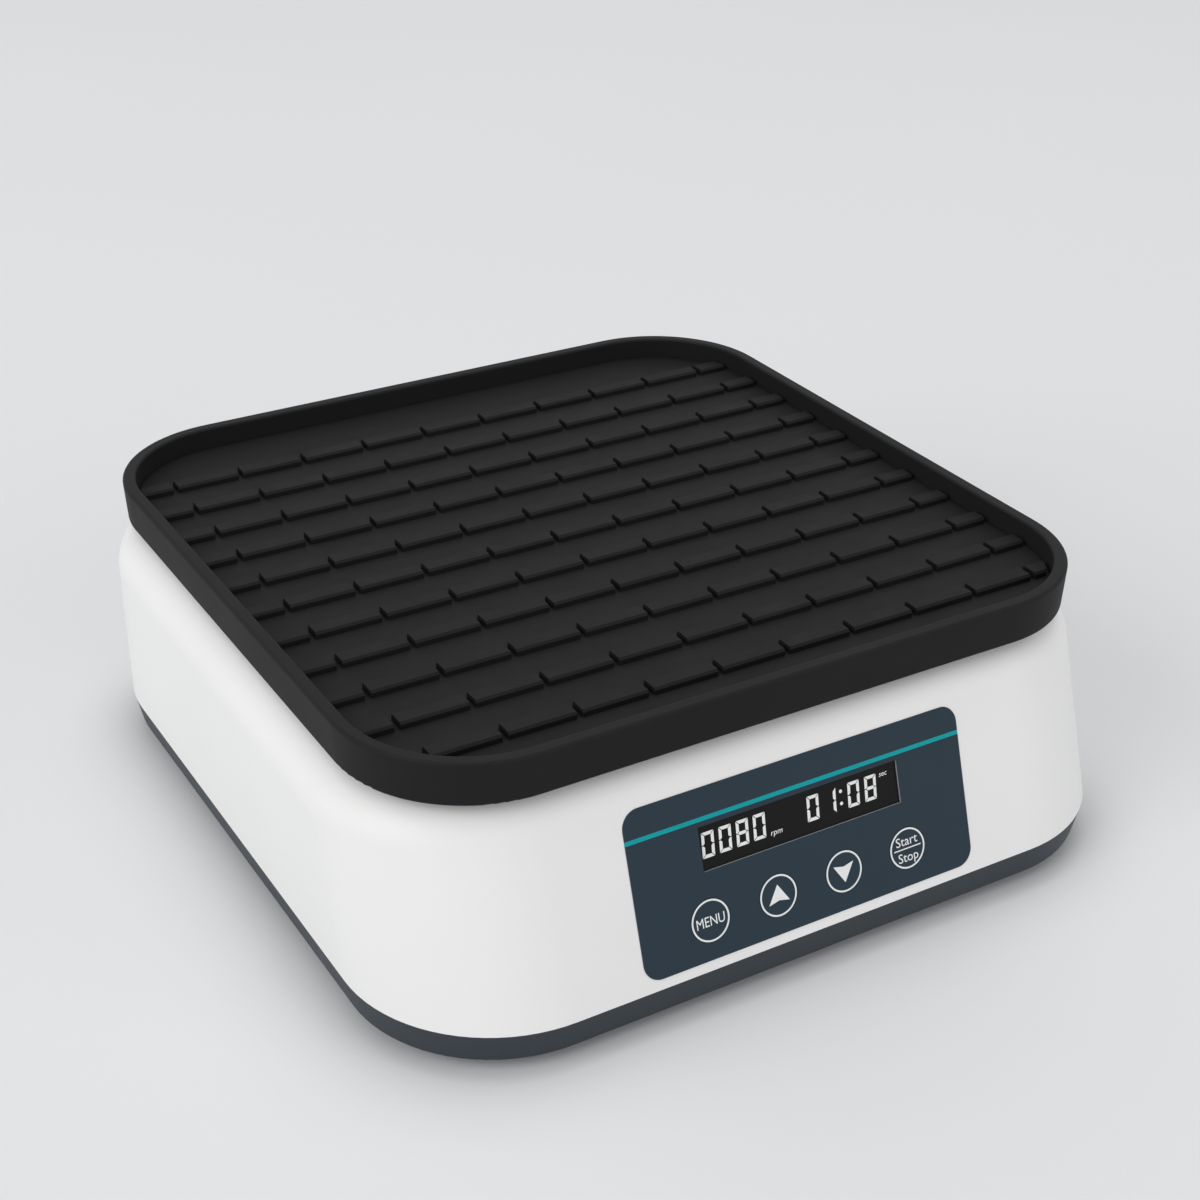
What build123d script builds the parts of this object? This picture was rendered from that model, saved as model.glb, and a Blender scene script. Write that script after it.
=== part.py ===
from build123d import *
import math
import os

# Benchtop orbital shaker. Lengths are in millimetres, angles in degrees.
# +Z is up and the control panel faces -Y. The origin is under the middle of the
# body, on the surface that the rubber feet stand on.

os.makedirs("parts", exist_ok=True)

# Body
BODY_WIDTH = 292.6
BODY_DEPTH = 302.2
BODY_CORNER = 54.5
FRONT_LEAN = 17.85
FOOT_HEIGHT = 5.0
BAND_HEIGHT = 11.3
BAND_DRAW = 2.4
BAND_ROUND = 1.0
CASING_HEIGHT = 71.1
SHOULDER = 17.0
WALL = 3.0
FLOOR = 3.0
LIP_HEIGHT = 4.0
LIP_WALL = 1.8

# Tray and mat
TRAY_SIDE_STEP = 6.3
TRAY_FRONT_STEP = 19.9
TRAY_BACK_STEP = 2.3
TRAY_CORNER = 47.5
TRAY_HEIGHT = 15.6
TRAY_DRAW = 0.8
TRAY_WALL = 5.0
TRAY_FLOOR = 3.6
TRAY_GAP = 2.0
RIM_OUTER_ROUND = 1.2
RIM_INNER_ROUND = 1.0
MAT_BASE = 3.5
MAT_GAP = 0.3
BAR_RISE = 2.5
BAR_WIDTH = 7.0
BAR_BEVEL = 0.8
BAR_ROWS = 11
BAR_ROW_PITCH = 21.82
BAR_ROW_SHIFT = -4.4
BAR_LENGTH_PITCH = 26.43
BAR_NOTCHES = 10
BAR_NOTCH = 2.2
BAR_MARGIN = 1.5

# Orbit and drive
ORBIT_RADIUS = 5.0
SHAFT_RADIUS = 6.0
MAIN_BEARING_RADIUS = 14.0
MAIN_BEARING_WIDTH = 8.0
IDLER_SHAFT_RADIUS = 4.0
IDLER_BEARING_RADIUS = 11.0
IDLER_BEARING_WIDTH = 7.0
IDLER_SIDE_GAP = 61.3
IDLER_SPREAD = 68.0
CARRIER_THICK = 8.0
CARRIER_HEADROOM = 8.0
CARRIER_SIDE_MARGIN = 25.0
CARRIER_END_MARGIN = 20.0
CARRIER_CORNER = 24.0
LIGHTENING_RADIUS = 12.0
LIGHTENING_CIRCLE = 53.0
LIGHTENING_HOLES = 8
ARM_CLEARANCE = 2.0
ARM_THICK = 7.0
IDLER_ARM_THICK = 5.0
HOUSING_BARREL_RADIUS = 20.0
HOUSING_HEIGHT = 33.0
HOUSING_FLANGE_RADIUS = 37.0
HOUSING_FLANGE = 5.0
HOUSING_FILLET = 3.0
PEDESTAL_BARREL_RADIUS = 15.0
PEDESTAL_FLANGE_RADIUS = 22.0
PEDESTAL_FLANGE = 4.0
PEDESTAL_GAP = 2.4
COUNTERWEIGHT_RADIUS = 40.0
DRIVE_GROOVE_RADIUS = 36.0
MOTOR_GROOVE_RADIUS = 10.0
PULLEY_FLANGE = 1.2
PULLEY_RISE = 2.0
BELT_WIDTH = 7.0
BELT_THICK = 1.8
BELT_GAP = 0.3
BELT_CENTRES = 72.0
MOTOR_RADIUS = 26.0
MOTOR_HEIGHT = 29.0
MOTOR_SHAFT_RADIUS = 3.0
MOTOR_BOSS_RADIUS = 10.0
MOTOR_ROUND = 2.0
BRACKET_SHEET = 3.0
BRACKET_LENGTH = 56.0
BRACKET_FLANGE = 7.0
LEG_CLEARANCE = 1.5
BRACKET_GAP = 1.5
MOTOR_SCREWS = 13.5
SHAFT_ENTRY = 12.0
SHAFT_TIP = 2.0
MOTOR_HUB_RADIUS = 7.0
MOTOR_HUB = 1.5
TAIL_REACH = 26.0
TAIL_RADIUS = 9.0
TAIL_THICK = 3.0
TAIL_SCREW_X = 6.0
IDLER_HUB_RADIUS = 11.0
IDLER_EYE_RADIUS = 10.0
HOUSING_SCREWS = 20.5
PEDESTAL_SCREWS = 19.2
PEDESTAL_TAPER = 1.5
SHAFT_FOOT_GAP = 1.0
PULLEY_LIP = 1.2
PULLEY_RIM = 5.0
PULLEY_HOLES = 6
DRIVE_HUB_RADIUS = 12.0
ARM_HUB_RADIUS = 16.0
ARM_EYE_RADIUS = 15.0
CHASSIS_THICK = 3.0
CHASSIS_SIDE_GAP = 30.3
CHASSIS_FRONT_GAP = 30.1
CHASSIS_BACK_GAP = 11.1
CHASSIS_CORNER = 20.0

# Posts between carrier and tray
POST_RADIUS = 7.0
POST_STEP = 15.0
POST_Y = 55.0
POST_CLEARANCE = 2.0
POST_BITE = 0.45
COLLAR_WALL = 2.0
COLLAR_RISE = 1.0

# Fasteners and clearances
FIT = 0.05
RUN = 0.05
SCREW_RADIUS = 2.0
SCREW_HEAD_RADIUS = 3.6
SCREW_HEAD = 2.4
CHASSIS_HEAD_RADIUS = 2.8
SMALL_SCREW_RADIUS = 1.25
SMALL_HEAD_RADIUS = 2.4
SMALL_HEAD = 1.6
THIN_HEAD = 1.2
SCREW_BITE = 10.0
SCREW_RUNOUT = 1.0
SOCKET_SHARE = 0.5
SOCKET_DEPTH = 0.6
SHAFT_CHAMFER = 0.8
BEARING_GROOVE = 0.22
BEARING_GROOVE_DEPTH = 0.5
BORE_STEP = 2.0

# Casing columns and feet
COLUMN_SIDE_GAP = 15.3
COLUMN_END_GAP = 71.1
COLUMN_RADIUS = 4.8
COLUMN_BOSS = 10.0
FOOT_RADIUS = 12.0
FOOT_DRAW = 1.5
FOOT_SIDE_GAP = 46.3
FOOT_FRONT_GAP = 67.1
FOOT_BACK_GAP = 41.1
FOOT_RECESS = 2.5
HEAD_SLIP = 0.3
FLOOR_VENT_LENGTH = 30.0
FLOOR_VENT_WIDTH = 3.0
FLOOR_VENT_PITCH_X = 40.0
FLOOR_VENT_PITCH_Y = 7.0
FLOOR_VENTS = 3

# Control panel, measured along the leaning front
PANEL_RISE = 30.8
OVERLAY_WIDTH = 132.0
OVERLAY_HEIGHT = 57.7
OVERLAY_CORNER = 6.3
OVERLAY_RECESS = 0.6
OVERLAY_PROUD = 0.2
OVERLAY_SLIP = 0.1
WINDOW_WIDTH = 79.0
WINDOW_HEIGHT = 15.2
WINDOW_Y = 8.5
LENS_LAP = 2.0
LENS_THICK = 1.2
KEY_PITCH = 26.45
KEY_Y = -15.5
KEY_RADIUS = 7.4
KEY_SLIT = 0.15
KEY_THICK = 0.9
KEY_TRAVEL = 0.4
KEY_FLOOR_GAP = 0.3
STEM_RADIUS = 2.0
STEM_SLIP = 0.3
STEM_ENTRY = 1.0
STEM_STOP = 0.15
SWITCH_SIZE = 6.5
SWITCH_HEIGHT = 3.5
BOARD_DEPTH = 9.2
BOARD_WIDTH = 122.0
BOARD_HEIGHT = 50.0
BOARD_THICK = 1.6
BOARD_BOSS_RADIUS = 3.5
BOARD_BOSS_X = 55.0
BOARD_BOSS_Y = 20.0
LCD_WIDTH = 88.0
LCD_HEIGHT = 25.0
LCD_GAP = 0.15
LCD_SLIP = 0.3
CHIP_SIZE = 12.0
CHIP_THICK = 1.6
CHIP_X = -18.0
PLUG_WIDTH = 22.0
PLUG_HEIGHT = 6.0
PLUG_DEPTH = 8.0
PLUG_X = 22.0
BUZZER_RADIUS = 6.0
BUZZER_DEPTH = 7.0
BUZZER_X = -42.0

# Power supply board
SUPPLY_SIDE_GAP = 56.3
SUPPLY_WIDTH = 50.0
SUPPLY_LENGTH = 90.0
SUPPLY_STANDOFF = 6.0
SUPPLY_MARGIN = 5.0
SUPPLY_BOARD = 1.6
STANDOFF_RADIUS = 3.0
TRANSFORMER_WIDTH = 30.0
TRANSFORMER_LENGTH = 34.0
TRANSFORMER_HEIGHT = 24.0
TRANSFORMER_Y = 16.0
CAPACITOR_RADIUS = 6.5
CAPACITOR_HEIGHT = 24.0
CAPACITOR_Y = -16.0
CAPACITOR_PITCH = 16.0
CAPACITOR_X = -8.0
HEAT_SINK_X = 19.0
HEAT_SINK_BASE = 2.0
HEAT_SINK_FIN = 1.2
HEAT_SINK_DEPTH = 9.0
HEAT_SINK_LENGTH = 26.0
HEAT_SINK_HEIGHT = 22.0
HEAT_SINK_FINS = 5
TERMINAL_WIDTH = 24.0
TERMINAL_DEPTH = 8.0
TERMINAL_HEIGHT = 10.0
TERMINAL_Y = 38.0

# Leads inside the body
CONTROL_LEAD_RADIUS = 1.8
MOTOR_LEAD_RADIUS = 1.3
MAINS_LEAD_RADIUS = 1.1
LEAD_SLACK = 16.0
LEAD_LEVEL = 5.5
LEAD_BEND = 0.45
MOTOR_LEAD_ANGLE = 240.0

# Back of the casing
POCKET_DEPTH = 4.5
POCKET_MARGIN = 2.0
POCKET_CORNER = 3.0
POCKET_Z = 40.0
INLET_SIDE_GAP = 101.3
INLET_FLANGE_WIDTH = 50.0
INLET_FLANGE_HEIGHT = 25.0
INLET_FLANGE = 2.5
INLET_BODY_WIDTH = 27.6
INLET_BODY_HEIGHT = 20.0
INLET_BODY_DEPTH = 19.0
INLET_CAVITY_WIDTH = 24.2
INLET_CAVITY_HEIGHT = 16.6
INLET_CAVITY_DEPTH = 16.0
INLET_BEVEL = 4.5
INLET_SCREWS = 40.0
PIN_SPACING = 14.0
PIN_OFFSET = 2.0
PIN_THICK = 2.0
PIN_TALL = 4.0
PIN_LENGTH = 13.0
TAB_LENGTH = 6.0
TAB_WIDTH = 4.8
TAB_THICK = 0.8
TAB_SPACING = 8.0
ROCKER_SIDE_GAP = 62.3
BEZEL_WIDTH = 15.4
BEZEL_HEIGHT = 21.6
BEZEL_THICK = 2.0
SWITCH_BODY_WIDTH = 13.4
SWITCH_BODY_HEIGHT = 19.6
SWITCH_BODY_DEPTH = 16.0
ROCKER_WIDTH = 10.0
ROCKER_RADIUS = 8.2
ROCKER_SLIP = 0.3
ROCKER_TILT = 8.0
ROCKER_DEPTH = 4.0
ROCKER_VALLEY = 3.6
ROCKER_FACET = 8.5
ROCKER_UNDERSIDE = 3.0
ROCKER_PIN_RADIUS = 1.0
ROCKER_PIN_REACH = 1.2
ROCKER_WELL = 9.0
VENT_COUNT = 9
VENT_PITCH = 6.5
VENT_WIDTH = 2.6
VENT_HEIGHT = 22.0
VENT_SIDE_GAP = 80.3

# Levels worked out from the sizes above
LEAN_RATE = math.tan(math.radians(FRONT_LEAN))
Z_BASE = FOOT_HEIGHT
Z_FLOOR = Z_BASE + FLOOR
Z_SPLIT = Z_BASE + BAND_HEIGHT
Z_TOP = Z_SPLIT + CASING_HEIGHT
Z_TRAY = Z_TOP + TRAY_GAP
Z_MAT = Z_TRAY + TRAY_FLOOR
Z_MAT_TOP = Z_MAT + MAT_BASE
Z_RIM = Z_TRAY + TRAY_HEIGHT
Z_CHASSIS = Z_FLOOR + CHASSIS_THICK
Z_CARRIER_TOP = Z_TOP - WALL - CARRIER_HEADROOM
Z_CARRIER = Z_CARRIER_TOP - CARRIER_THICK
Z_ARM_TOP = Z_CARRIER - ARM_CLEARANCE
Z_ARM = Z_ARM_TOP - ARM_THICK
Z_IDLER_ARM = Z_ARM_TOP - IDLER_ARM_THICK
PIN_HEIGHT = Z_CARRIER_TOP - Z_ARM_TOP - SHAFT_FOOT_GAP
Z_HOUSING_TOP = Z_CHASSIS + HOUSING_HEIGHT
Z_PULLEY = Z_HOUSING_TOP + PULLEY_RISE
PULLEY_WIDTH = BELT_WIDTH + 2 * BELT_GAP + 2 * PULLEY_FLANGE
Z_BELT = Z_PULLEY + PULLEY_WIDTH / 2
Z_PEDESTAL_TOP = Z_IDLER_ARM - PEDESTAL_GAP
Z_COLUMN = Z_FLOOR + COLUMN_BOSS
Z_BRACKET_TOP = Z_PULLEY - BRACKET_GAP
Z_MOTOR_TOP = Z_BRACKET_TOP - BRACKET_SHEET

# Places in plan, tied to the body's sides, front and back
X_SIDE = BODY_WIDTH / 2
Y_BACK = BODY_DEPTH / 2
TRAY_WIDTH = BODY_WIDTH - 2 * TRAY_SIDE_STEP
TRAY_DEPTH = BODY_DEPTH - TRAY_FRONT_STEP - TRAY_BACK_STEP
WELL_WIDTH = TRAY_WIDTH - 2 * TRAY_WALL
WELL_DEPTH = TRAY_DEPTH - 2 * TRAY_WALL
WELL_CORNER = TRAY_CORNER - TRAY_WALL
TRAY_Y = (TRAY_FRONT_STEP - TRAY_BACK_STEP) / 2
AXIS_Y = TRAY_Y + ORBIT_RADIUS
IDLER_X = X_SIDE - IDLER_SIDE_GAP
POST_X = IDLER_X + POST_STEP
COLUMN_X = X_SIDE - COLUMN_SIDE_GAP
COLUMN_Y = Y_BACK - COLUMN_END_GAP
CHASSIS_WIDTH = BODY_WIDTH - 2 * CHASSIS_SIDE_GAP
CHASSIS_FRONT = Y_BACK - CHASSIS_FRONT_GAP
CHASSIS_BACK = Y_BACK - CHASSIS_BACK_GAP
FOOT_X = X_SIDE - FOOT_SIDE_GAP
FOOT_FRONT = Y_BACK - FOOT_FRONT_GAP
FOOT_BACK = Y_BACK - FOOT_BACK_GAP
SUPPLY_X = SUPPLY_SIDE_GAP - X_SIDE
INLET_X = INLET_SIDE_GAP - X_SIDE
ROCKER_X = ROCKER_SIDE_GAP - X_SIDE
VENT_X = X_SIDE - VENT_SIDE_GAP
MOTOR_Y = AXIS_Y + BELT_CENTRES
CORNERS = [(-1, -1), (1, -1), (1, 1), (-1, 1)]
pin_y = AXIS_Y - ORBIT_RADIUS
motor_screw_points = [(sx * MOTOR_SCREWS, MOTOR_Y + sy * MOTOR_SCREWS) for sx, sy in CORNERS]
idler_points = [(sx * IDLER_X, AXIS_Y + sy * IDLER_SPREAD) for sx, sy in CORNERS]
idler_pin_points = [(x, y - ORBIT_RADIUS) for x, y in idler_points]
post_points = [(sx * POST_X, TRAY_Y + sy * POST_Y) for sx, sy in CORNERS]
post_hole_points = [(x, y + ORBIT_RADIUS) for x, y in post_points]
column_points = [(sx * COLUMN_X, sy * COLUMN_Y) for sx, sy in CORNERS]
foot_points = [(-FOOT_X, -FOOT_FRONT), (FOOT_X, -FOOT_FRONT), (FOOT_X, FOOT_BACK), (-FOOT_X, FOOT_BACK)]
supply_points = [
    (SUPPLY_X + sx * (SUPPLY_WIDTH / 2 - SUPPLY_MARGIN), AXIS_Y + sy * (SUPPLY_LENGTH / 2 - SUPPLY_MARGIN))
    for sx, sy in CORNERS
]
key_points = [((i - 1.5) * KEY_PITCH, KEY_Y) for i in range(4)]
board_points = [(sx * BOARD_BOSS_X, sy * BOARD_BOSS_Y) for sx, sy in CORNERS]

# The leaning panel: its Z axis points out of the front and its Y axis runs up the slope.
lean = math.radians(FRONT_LEAN)
panel = Plane(
    origin=(0, -BODY_DEPTH / 2 + PANEL_RISE * LEAN_RATE, Z_SPLIT + PANEL_RISE),
    x_dir=(1, 0, 0),
    z_dir=(0, -math.cos(lean), math.sin(lean)),
)
PANEL_WALL = WALL * math.cos(lean)

# The back wall: its Z axis points backwards, and its X axis runs towards -X.
rear = Plane(origin=(0, Y_BACK, POCKET_Z), x_dir=(-1, 0, 0), z_dir=(0, 1, 0))


def outline(z, inset=0.0):
    """Width, depth, middle and corner radius of the casing's plan outline at height z."""
    set_back = (z - Z_SPLIT) * LEAN_RATE
    return (
        BODY_WIDTH - 2 * inset,
        BODY_DEPTH - set_back - 2 * inset,
        set_back / 2,
        BODY_CORNER - inset,
    )


def plan_face(z, width, depth, middle, radius):
    """A rounded rectangle lying flat at height z."""
    with BuildSketch(Plane.XY.offset(z)) as plan:
        with Locations((0, middle)):
            RectangleRounded(width, depth, radius)
    return plan.sketch.face()


def casing_form(inset, bottom, top, shoulder=0.0):
    """The casing's solid form, drawn in by inset, with a rounded shoulder round its top."""
    with BuildPart() as form:
        loft([plan_face(bottom, *outline(bottom, inset)), plan_face(top, *outline(top, inset))], ruled=True)
        if shoulder > 0:
            fillet(form.faces().sort_by(Axis.Z)[-1].edges(), shoulder)
    return form.part


def band_form():
    """The solid form of the slate band, which draws in towards its rounded lower edge."""
    width, depth, middle, radius = outline(Z_SPLIT)
    foot = plan_face(Z_BASE, width - 2 * BAND_DRAW, depth - 2 * BAND_DRAW, middle, radius - BAND_DRAW)
    with BuildPart() as form:
        loft([foot, plan_face(Z_SPLIT, width, depth, middle, radius)], ruled=True)
        fillet(form.faces().sort_by(Axis.Z)[0].edges(), BAND_ROUND)
    return form.part


def link_face(first, first_radius, second, second_radius):
    """A flat link: the outline stretched tight round two eyes."""
    with BuildSketch() as eyes:
        with Locations(first):
            Circle(first_radius)
        with Locations(second):
            Circle(second_radius)
    with BuildSketch() as link:
        make_hull(eyes.sketch.edges())
    return link.sketch


def screws(plane, points, head_radius, head, shank_radius, length, facing=1):
    """Socket-head screws seated on a plane, with their heads on the side that facing names."""
    with BuildPart() as group:
        with BuildSketch(plane):
            with Locations(*points):
                Circle(head_radius)
        extrude(amount=facing * head)
        with BuildSketch(plane.offset(facing * head)):
            with Locations(*points):
                RegularPolygon(head_radius * SOCKET_SHARE, 6)
        extrude(amount=-facing * head * SOCKET_DEPTH, mode=Mode.SUBTRACT)
        with BuildSketch(plane):
            with Locations(*points):
                Circle(shank_radius)
        extrude(amount=-facing * length)
    return group.part


def bearings(levels, points, outer, inner, width):
    """Shielded ball bearings: one ring for each level and point, with a groove round each face."""
    groove = (outer - inner) * BEARING_GROOVE
    middle = (outer + inner) / 2
    with BuildPart() as group:
        for level in levels:
            with BuildSketch(Plane.XY.offset(level)):
                with Locations(*points):
                    Circle(outer - FIT)
                    Circle(inner + RUN, mode=Mode.SUBTRACT)
            extrude(amount=width)
            with BuildSketch(Plane.XY.offset(level + width)):
                with Locations(*points):
                    Circle(middle + groove)
                    Circle(middle - groove, mode=Mode.SUBTRACT)
            extrude(amount=-BEARING_GROOVE_DEPTH, mode=Mode.SUBTRACT)
    return group.part


def lead(points, radius):
    """A round lead along straight runs joined by tangent arcs, as wide as the shorter run allows."""
    radii = []
    for before, corner, after in zip(points, points[1:], points[2:]):
        arriving = Vector(*corner) - Vector(*before)
        leaving = Vector(*after) - Vector(*corner)
        half_turn = math.radians(arriving.get_angle(leaving)) / 2
        radii.append(LEAD_BEND * min(arriving.length, leaving.length) / math.tan(half_turn))
    print("lead radii:", [round(value, 1) for value in radii])
    with BuildPart() as tube:
        with BuildLine() as route:
            FilletPolyline(*points, radius=radii)
        with BuildSketch(Plane(origin=route.line @ 0, z_dir=route.line % 0)):
            Circle(radius)
        sweep(path=route.line)
    return tube.part


# Base pan: the slate band, its floor and the lip that the casing drops over
lip_top = Z_SPLIT + LIP_HEIGHT
lip_inset = WALL + FIT
cavity_inset = lip_inset + LIP_WALL
width, depth, _, radius = outline(Z_SPLIT)
with BuildPart() as base_pan:
    add(band_form())
    add(casing_form(lip_inset, Z_SPLIT, lip_top))
    with BuildSketch(Plane.XY.offset(Z_FLOOR)):
        RectangleRounded(width - 2 * cavity_inset, depth - 2 * cavity_inset, radius - cavity_inset)
    extrude(amount=Z_SPLIT - Z_FLOOR, mode=Mode.SUBTRACT)
    add(casing_form(cavity_inset, Z_SPLIT, lip_top), mode=Mode.SUBTRACT)
    with BuildSketch(Plane.XY.offset(Z_FLOOR)):
        with Locations(*column_points):
            Circle(COLUMN_RADIUS)
    extrude(amount=COLUMN_BOSS)
    with BuildSketch(Plane.XY.offset(Z_BASE)):
        with Locations(*column_points):
            Circle(SCREW_HEAD_RADIUS + HEAD_SLIP)
    extrude(amount=FLOOR + SCREW_HEAD, mode=Mode.SUBTRACT)
    with BuildSketch(Plane.XY.offset(Z_BASE)):
        with Locations(*column_points):
            Circle(SCREW_RADIUS + FIT)
        with Locations(*foot_points):
            Circle(SCREW_RADIUS + FIT)
    extrude(amount=FLOOR + COLUMN_BOSS, mode=Mode.SUBTRACT)
    with BuildSketch(Plane.XY.offset(Z_BASE)):
        with Locations((0, -(CHASSIS_FRONT + depth / 2) / 2)):
            with GridLocations(FLOOR_VENT_PITCH_X, FLOOR_VENT_PITCH_Y, FLOOR_VENTS, FLOOR_VENTS):
                SlotOverall(FLOOR_VENT_LENGTH, FLOOR_VENT_WIDTH)
    extrude(amount=FLOOR, mode=Mode.SUBTRACT)
base_pan.part.label = "base_pan"
export_step(base_pan.part, "parts/base_pan.step")

# Upper casing: a thin moulded shell with a leaning front
pocket_left = INLET_X + INLET_FLANGE_WIDTH / 2 + POCKET_MARGIN
pocket_right = ROCKER_X - BEZEL_WIDTH / 2 - POCKET_MARGIN
pocket_width = pocket_left - pocket_right
pocket_middle = -(pocket_left + pocket_right) / 2
pocket_height = INLET_FLANGE_HEIGHT + 2 * POCKET_MARGIN
post_hole = POST_RADIUS + ORBIT_RADIUS + POST_CLEARANCE
key_well = KEY_THICK - OVERLAY_PROUD + KEY_TRAVEL + KEY_FLOOR_GAP
boss_length = BOARD_DEPTH - PANEL_WALL
with BuildPart() as casing:
    add(casing_form(0, Z_SPLIT, Z_TOP, SHOULDER))
    with BuildSketch(Plane.XY.offset(Z_TOP)):
        with Locations(*post_hole_points):
            Circle(post_hole + COLLAR_WALL)
    extrude(amount=COLLAR_RISE)
    add(casing_form(WALL, Z_SPLIT, Z_TOP - WALL, SHOULDER - WALL), mode=Mode.SUBTRACT)
    with BuildSketch(Plane.XY.offset(Z_COLUMN)):
        with Locations(*column_points):
            Circle(COLUMN_RADIUS)
    extrude(amount=Z_TOP - WALL / 2 - Z_COLUMN - FIT)
    with BuildSketch(Plane.XY.offset(Z_COLUMN)):
        with Locations(*column_points):
            Circle(SCREW_RADIUS + FIT)
    extrude(amount=SCREW_BITE + SCREW_RUNOUT, mode=Mode.SUBTRACT)
    with BuildSketch(Plane.XY.offset(Z_TOP + COLLAR_RISE)):
        with Locations(*post_hole_points):
            Circle(post_hole)
    extrude(amount=-(COLLAR_RISE + 2 * WALL), mode=Mode.SUBTRACT)
    with BuildSketch(panel.offset(-BOARD_DEPTH)):
        with Locations(*board_points):
            Circle(BOARD_BOSS_RADIUS)
    extrude(amount=boss_length + PANEL_WALL / 4)
    with BuildSketch(panel.offset(-BOARD_DEPTH)):
        with Locations(*board_points):
            Circle(SMALL_SCREW_RADIUS + FIT)
    extrude(amount=boss_length, mode=Mode.SUBTRACT)
    with BuildSketch(panel):
        RectangleRounded(
            OVERLAY_WIDTH + 2 * OVERLAY_SLIP, OVERLAY_HEIGHT + 2 * OVERLAY_SLIP, OVERLAY_CORNER + OVERLAY_SLIP
        )
    extrude(amount=-OVERLAY_RECESS, mode=Mode.SUBTRACT)
    with BuildSketch(panel):
        with Locations((0, WINDOW_Y)):
            Rectangle(WINDOW_WIDTH + 2 * (LENS_LAP + FIT), WINDOW_HEIGHT + 2 * (LENS_LAP + FIT))
    extrude(amount=-(OVERLAY_RECESS + LENS_THICK), mode=Mode.SUBTRACT)
    with BuildSketch(panel):
        with Locations((0, WINDOW_Y)):
            Rectangle(WINDOW_WIDTH, WINDOW_HEIGHT)
        with Locations(*key_points):
            Circle(STEM_RADIUS + STEM_SLIP)
    extrude(amount=-2 * WALL, mode=Mode.SUBTRACT)
    with BuildSketch(panel):
        with Locations(*key_points):
            Circle(KEY_RADIUS + 2 * KEY_SLIT)
    extrude(amount=-key_well, mode=Mode.SUBTRACT)
    with BuildSketch(rear.offset(-WALL)):
        with Locations((pocket_middle, 0)):
            RectangleRounded(pocket_width + 2 * WALL, pocket_height + 2 * WALL, POCKET_CORNER + WALL)
    extrude(amount=-POCKET_DEPTH)
    with BuildSketch(rear):
        with Locations((pocket_middle, 0)):
            RectangleRounded(pocket_width, pocket_height, POCKET_CORNER)
    extrude(amount=-POCKET_DEPTH, mode=Mode.SUBTRACT)
    with BuildSketch(rear.offset(-POCKET_DEPTH)):
        with Locations((-INLET_X, 0)):
            Rectangle(INLET_BODY_WIDTH + 2 * FIT, INLET_BODY_HEIGHT + 2 * FIT)
        with Locations((-ROCKER_X, 0)):
            Rectangle(SWITCH_BODY_WIDTH + 2 * FIT, SWITCH_BODY_HEIGHT + 2 * FIT)
        with Locations((-INLET_X - INLET_SCREWS / 2, 0), (-INLET_X + INLET_SCREWS / 2, 0)):
            Circle(SMALL_SCREW_RADIUS + FIT)
    extrude(amount=-2 * WALL, mode=Mode.SUBTRACT)
    with BuildSketch(rear):
        with Locations((-VENT_X, 0)):
            with GridLocations(VENT_PITCH, 1, VENT_COUNT, 1):
                SlotOverall(VENT_HEIGHT, VENT_WIDTH, rotation=90)
    extrude(amount=-2 * WALL, mode=Mode.SUBTRACT)
casing.part.label = "casing"
export_step(casing.part, "parts/casing.step")

# Screws that hold the casing down on the base pan, driven from below
casing_screws = screws(
    Plane.XY.offset(Z_FLOOR + SCREW_HEAD),
    column_points,
    SCREW_HEAD_RADIUS,
    SCREW_HEAD,
    SCREW_RADIUS,
    COLUMN_BOSS - SCREW_HEAD + SCREW_BITE,
    facing=-1,
)
casing_screws.label = "casing_screws"
export_step(casing_screws, "parts/casing_screws.step")

# Rubber feet: short cones with a recess for the screw head
with BuildPart() as rubber_feet:
    for x, y in foot_points:
        with Locations((x, y, FOOT_HEIGHT / 2)):
            Cone(FOOT_RADIUS - FOOT_DRAW, FOOT_RADIUS, FOOT_HEIGHT)
        with Locations((x, y, FOOT_RECESS / 2)):
            Cylinder(SCREW_HEAD_RADIUS + HEAD_SLIP, FOOT_RECESS, mode=Mode.SUBTRACT)
        with Locations((x, y, FOOT_HEIGHT / 2)):
            Cylinder(SCREW_RADIUS + FIT, FOOT_HEIGHT, mode=Mode.SUBTRACT)
rubber_feet.part.label = "rubber_feet"
export_step(rubber_feet.part, "parts/rubber_feet.step")

foot_screws = screws(
    Plane.XY.offset(FOOT_RECESS),
    foot_points,
    SCREW_HEAD_RADIUS,
    SMALL_HEAD,
    SCREW_RADIUS,
    Z_CHASSIS - FOOT_RECESS - FIT,
    facing=-1,
)
foot_screws.label = "foot_screws"
export_step(foot_screws, "parts/foot_screws.step")

# Steel chassis plate that carries the mechanism, clamped to the pan by the foot screws
chassis_depth = CHASSIS_FRONT + CHASSIS_BACK
chassis_middle = (CHASSIS_BACK - CHASSIS_FRONT) / 2
pedestal_points = [(x + side * PEDESTAL_SCREWS, y) for x, y in idler_points for side in (-1, 1)]
housing_points = [(sx * HOUSING_SCREWS, AXIS_Y + sy * HOUSING_SCREWS) for sx, sy in CORNERS]
leg_outside = MOTOR_RADIUS + LEG_CLEARANCE + BRACKET_SHEET
bracket_half_width = leg_outside + BRACKET_FLANGE
bracket_points = [
    (sx * (leg_outside + BRACKET_FLANGE / 2), MOTOR_Y + sy * BRACKET_LENGTH / 4) for sx, sy in CORNERS
]
with BuildPart() as chassis_plate:
    with BuildSketch(Plane.XY.offset(Z_FLOOR)):
        with Locations((0, chassis_middle)):
            RectangleRounded(CHASSIS_WIDTH, chassis_depth, CHASSIS_CORNER)
        with Locations(*foot_points, *pedestal_points, *housing_points, *bracket_points, *supply_points):
            Circle(SCREW_RADIUS + FIT, mode=Mode.SUBTRACT)
    extrude(amount=CHASSIS_THICK)
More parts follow.
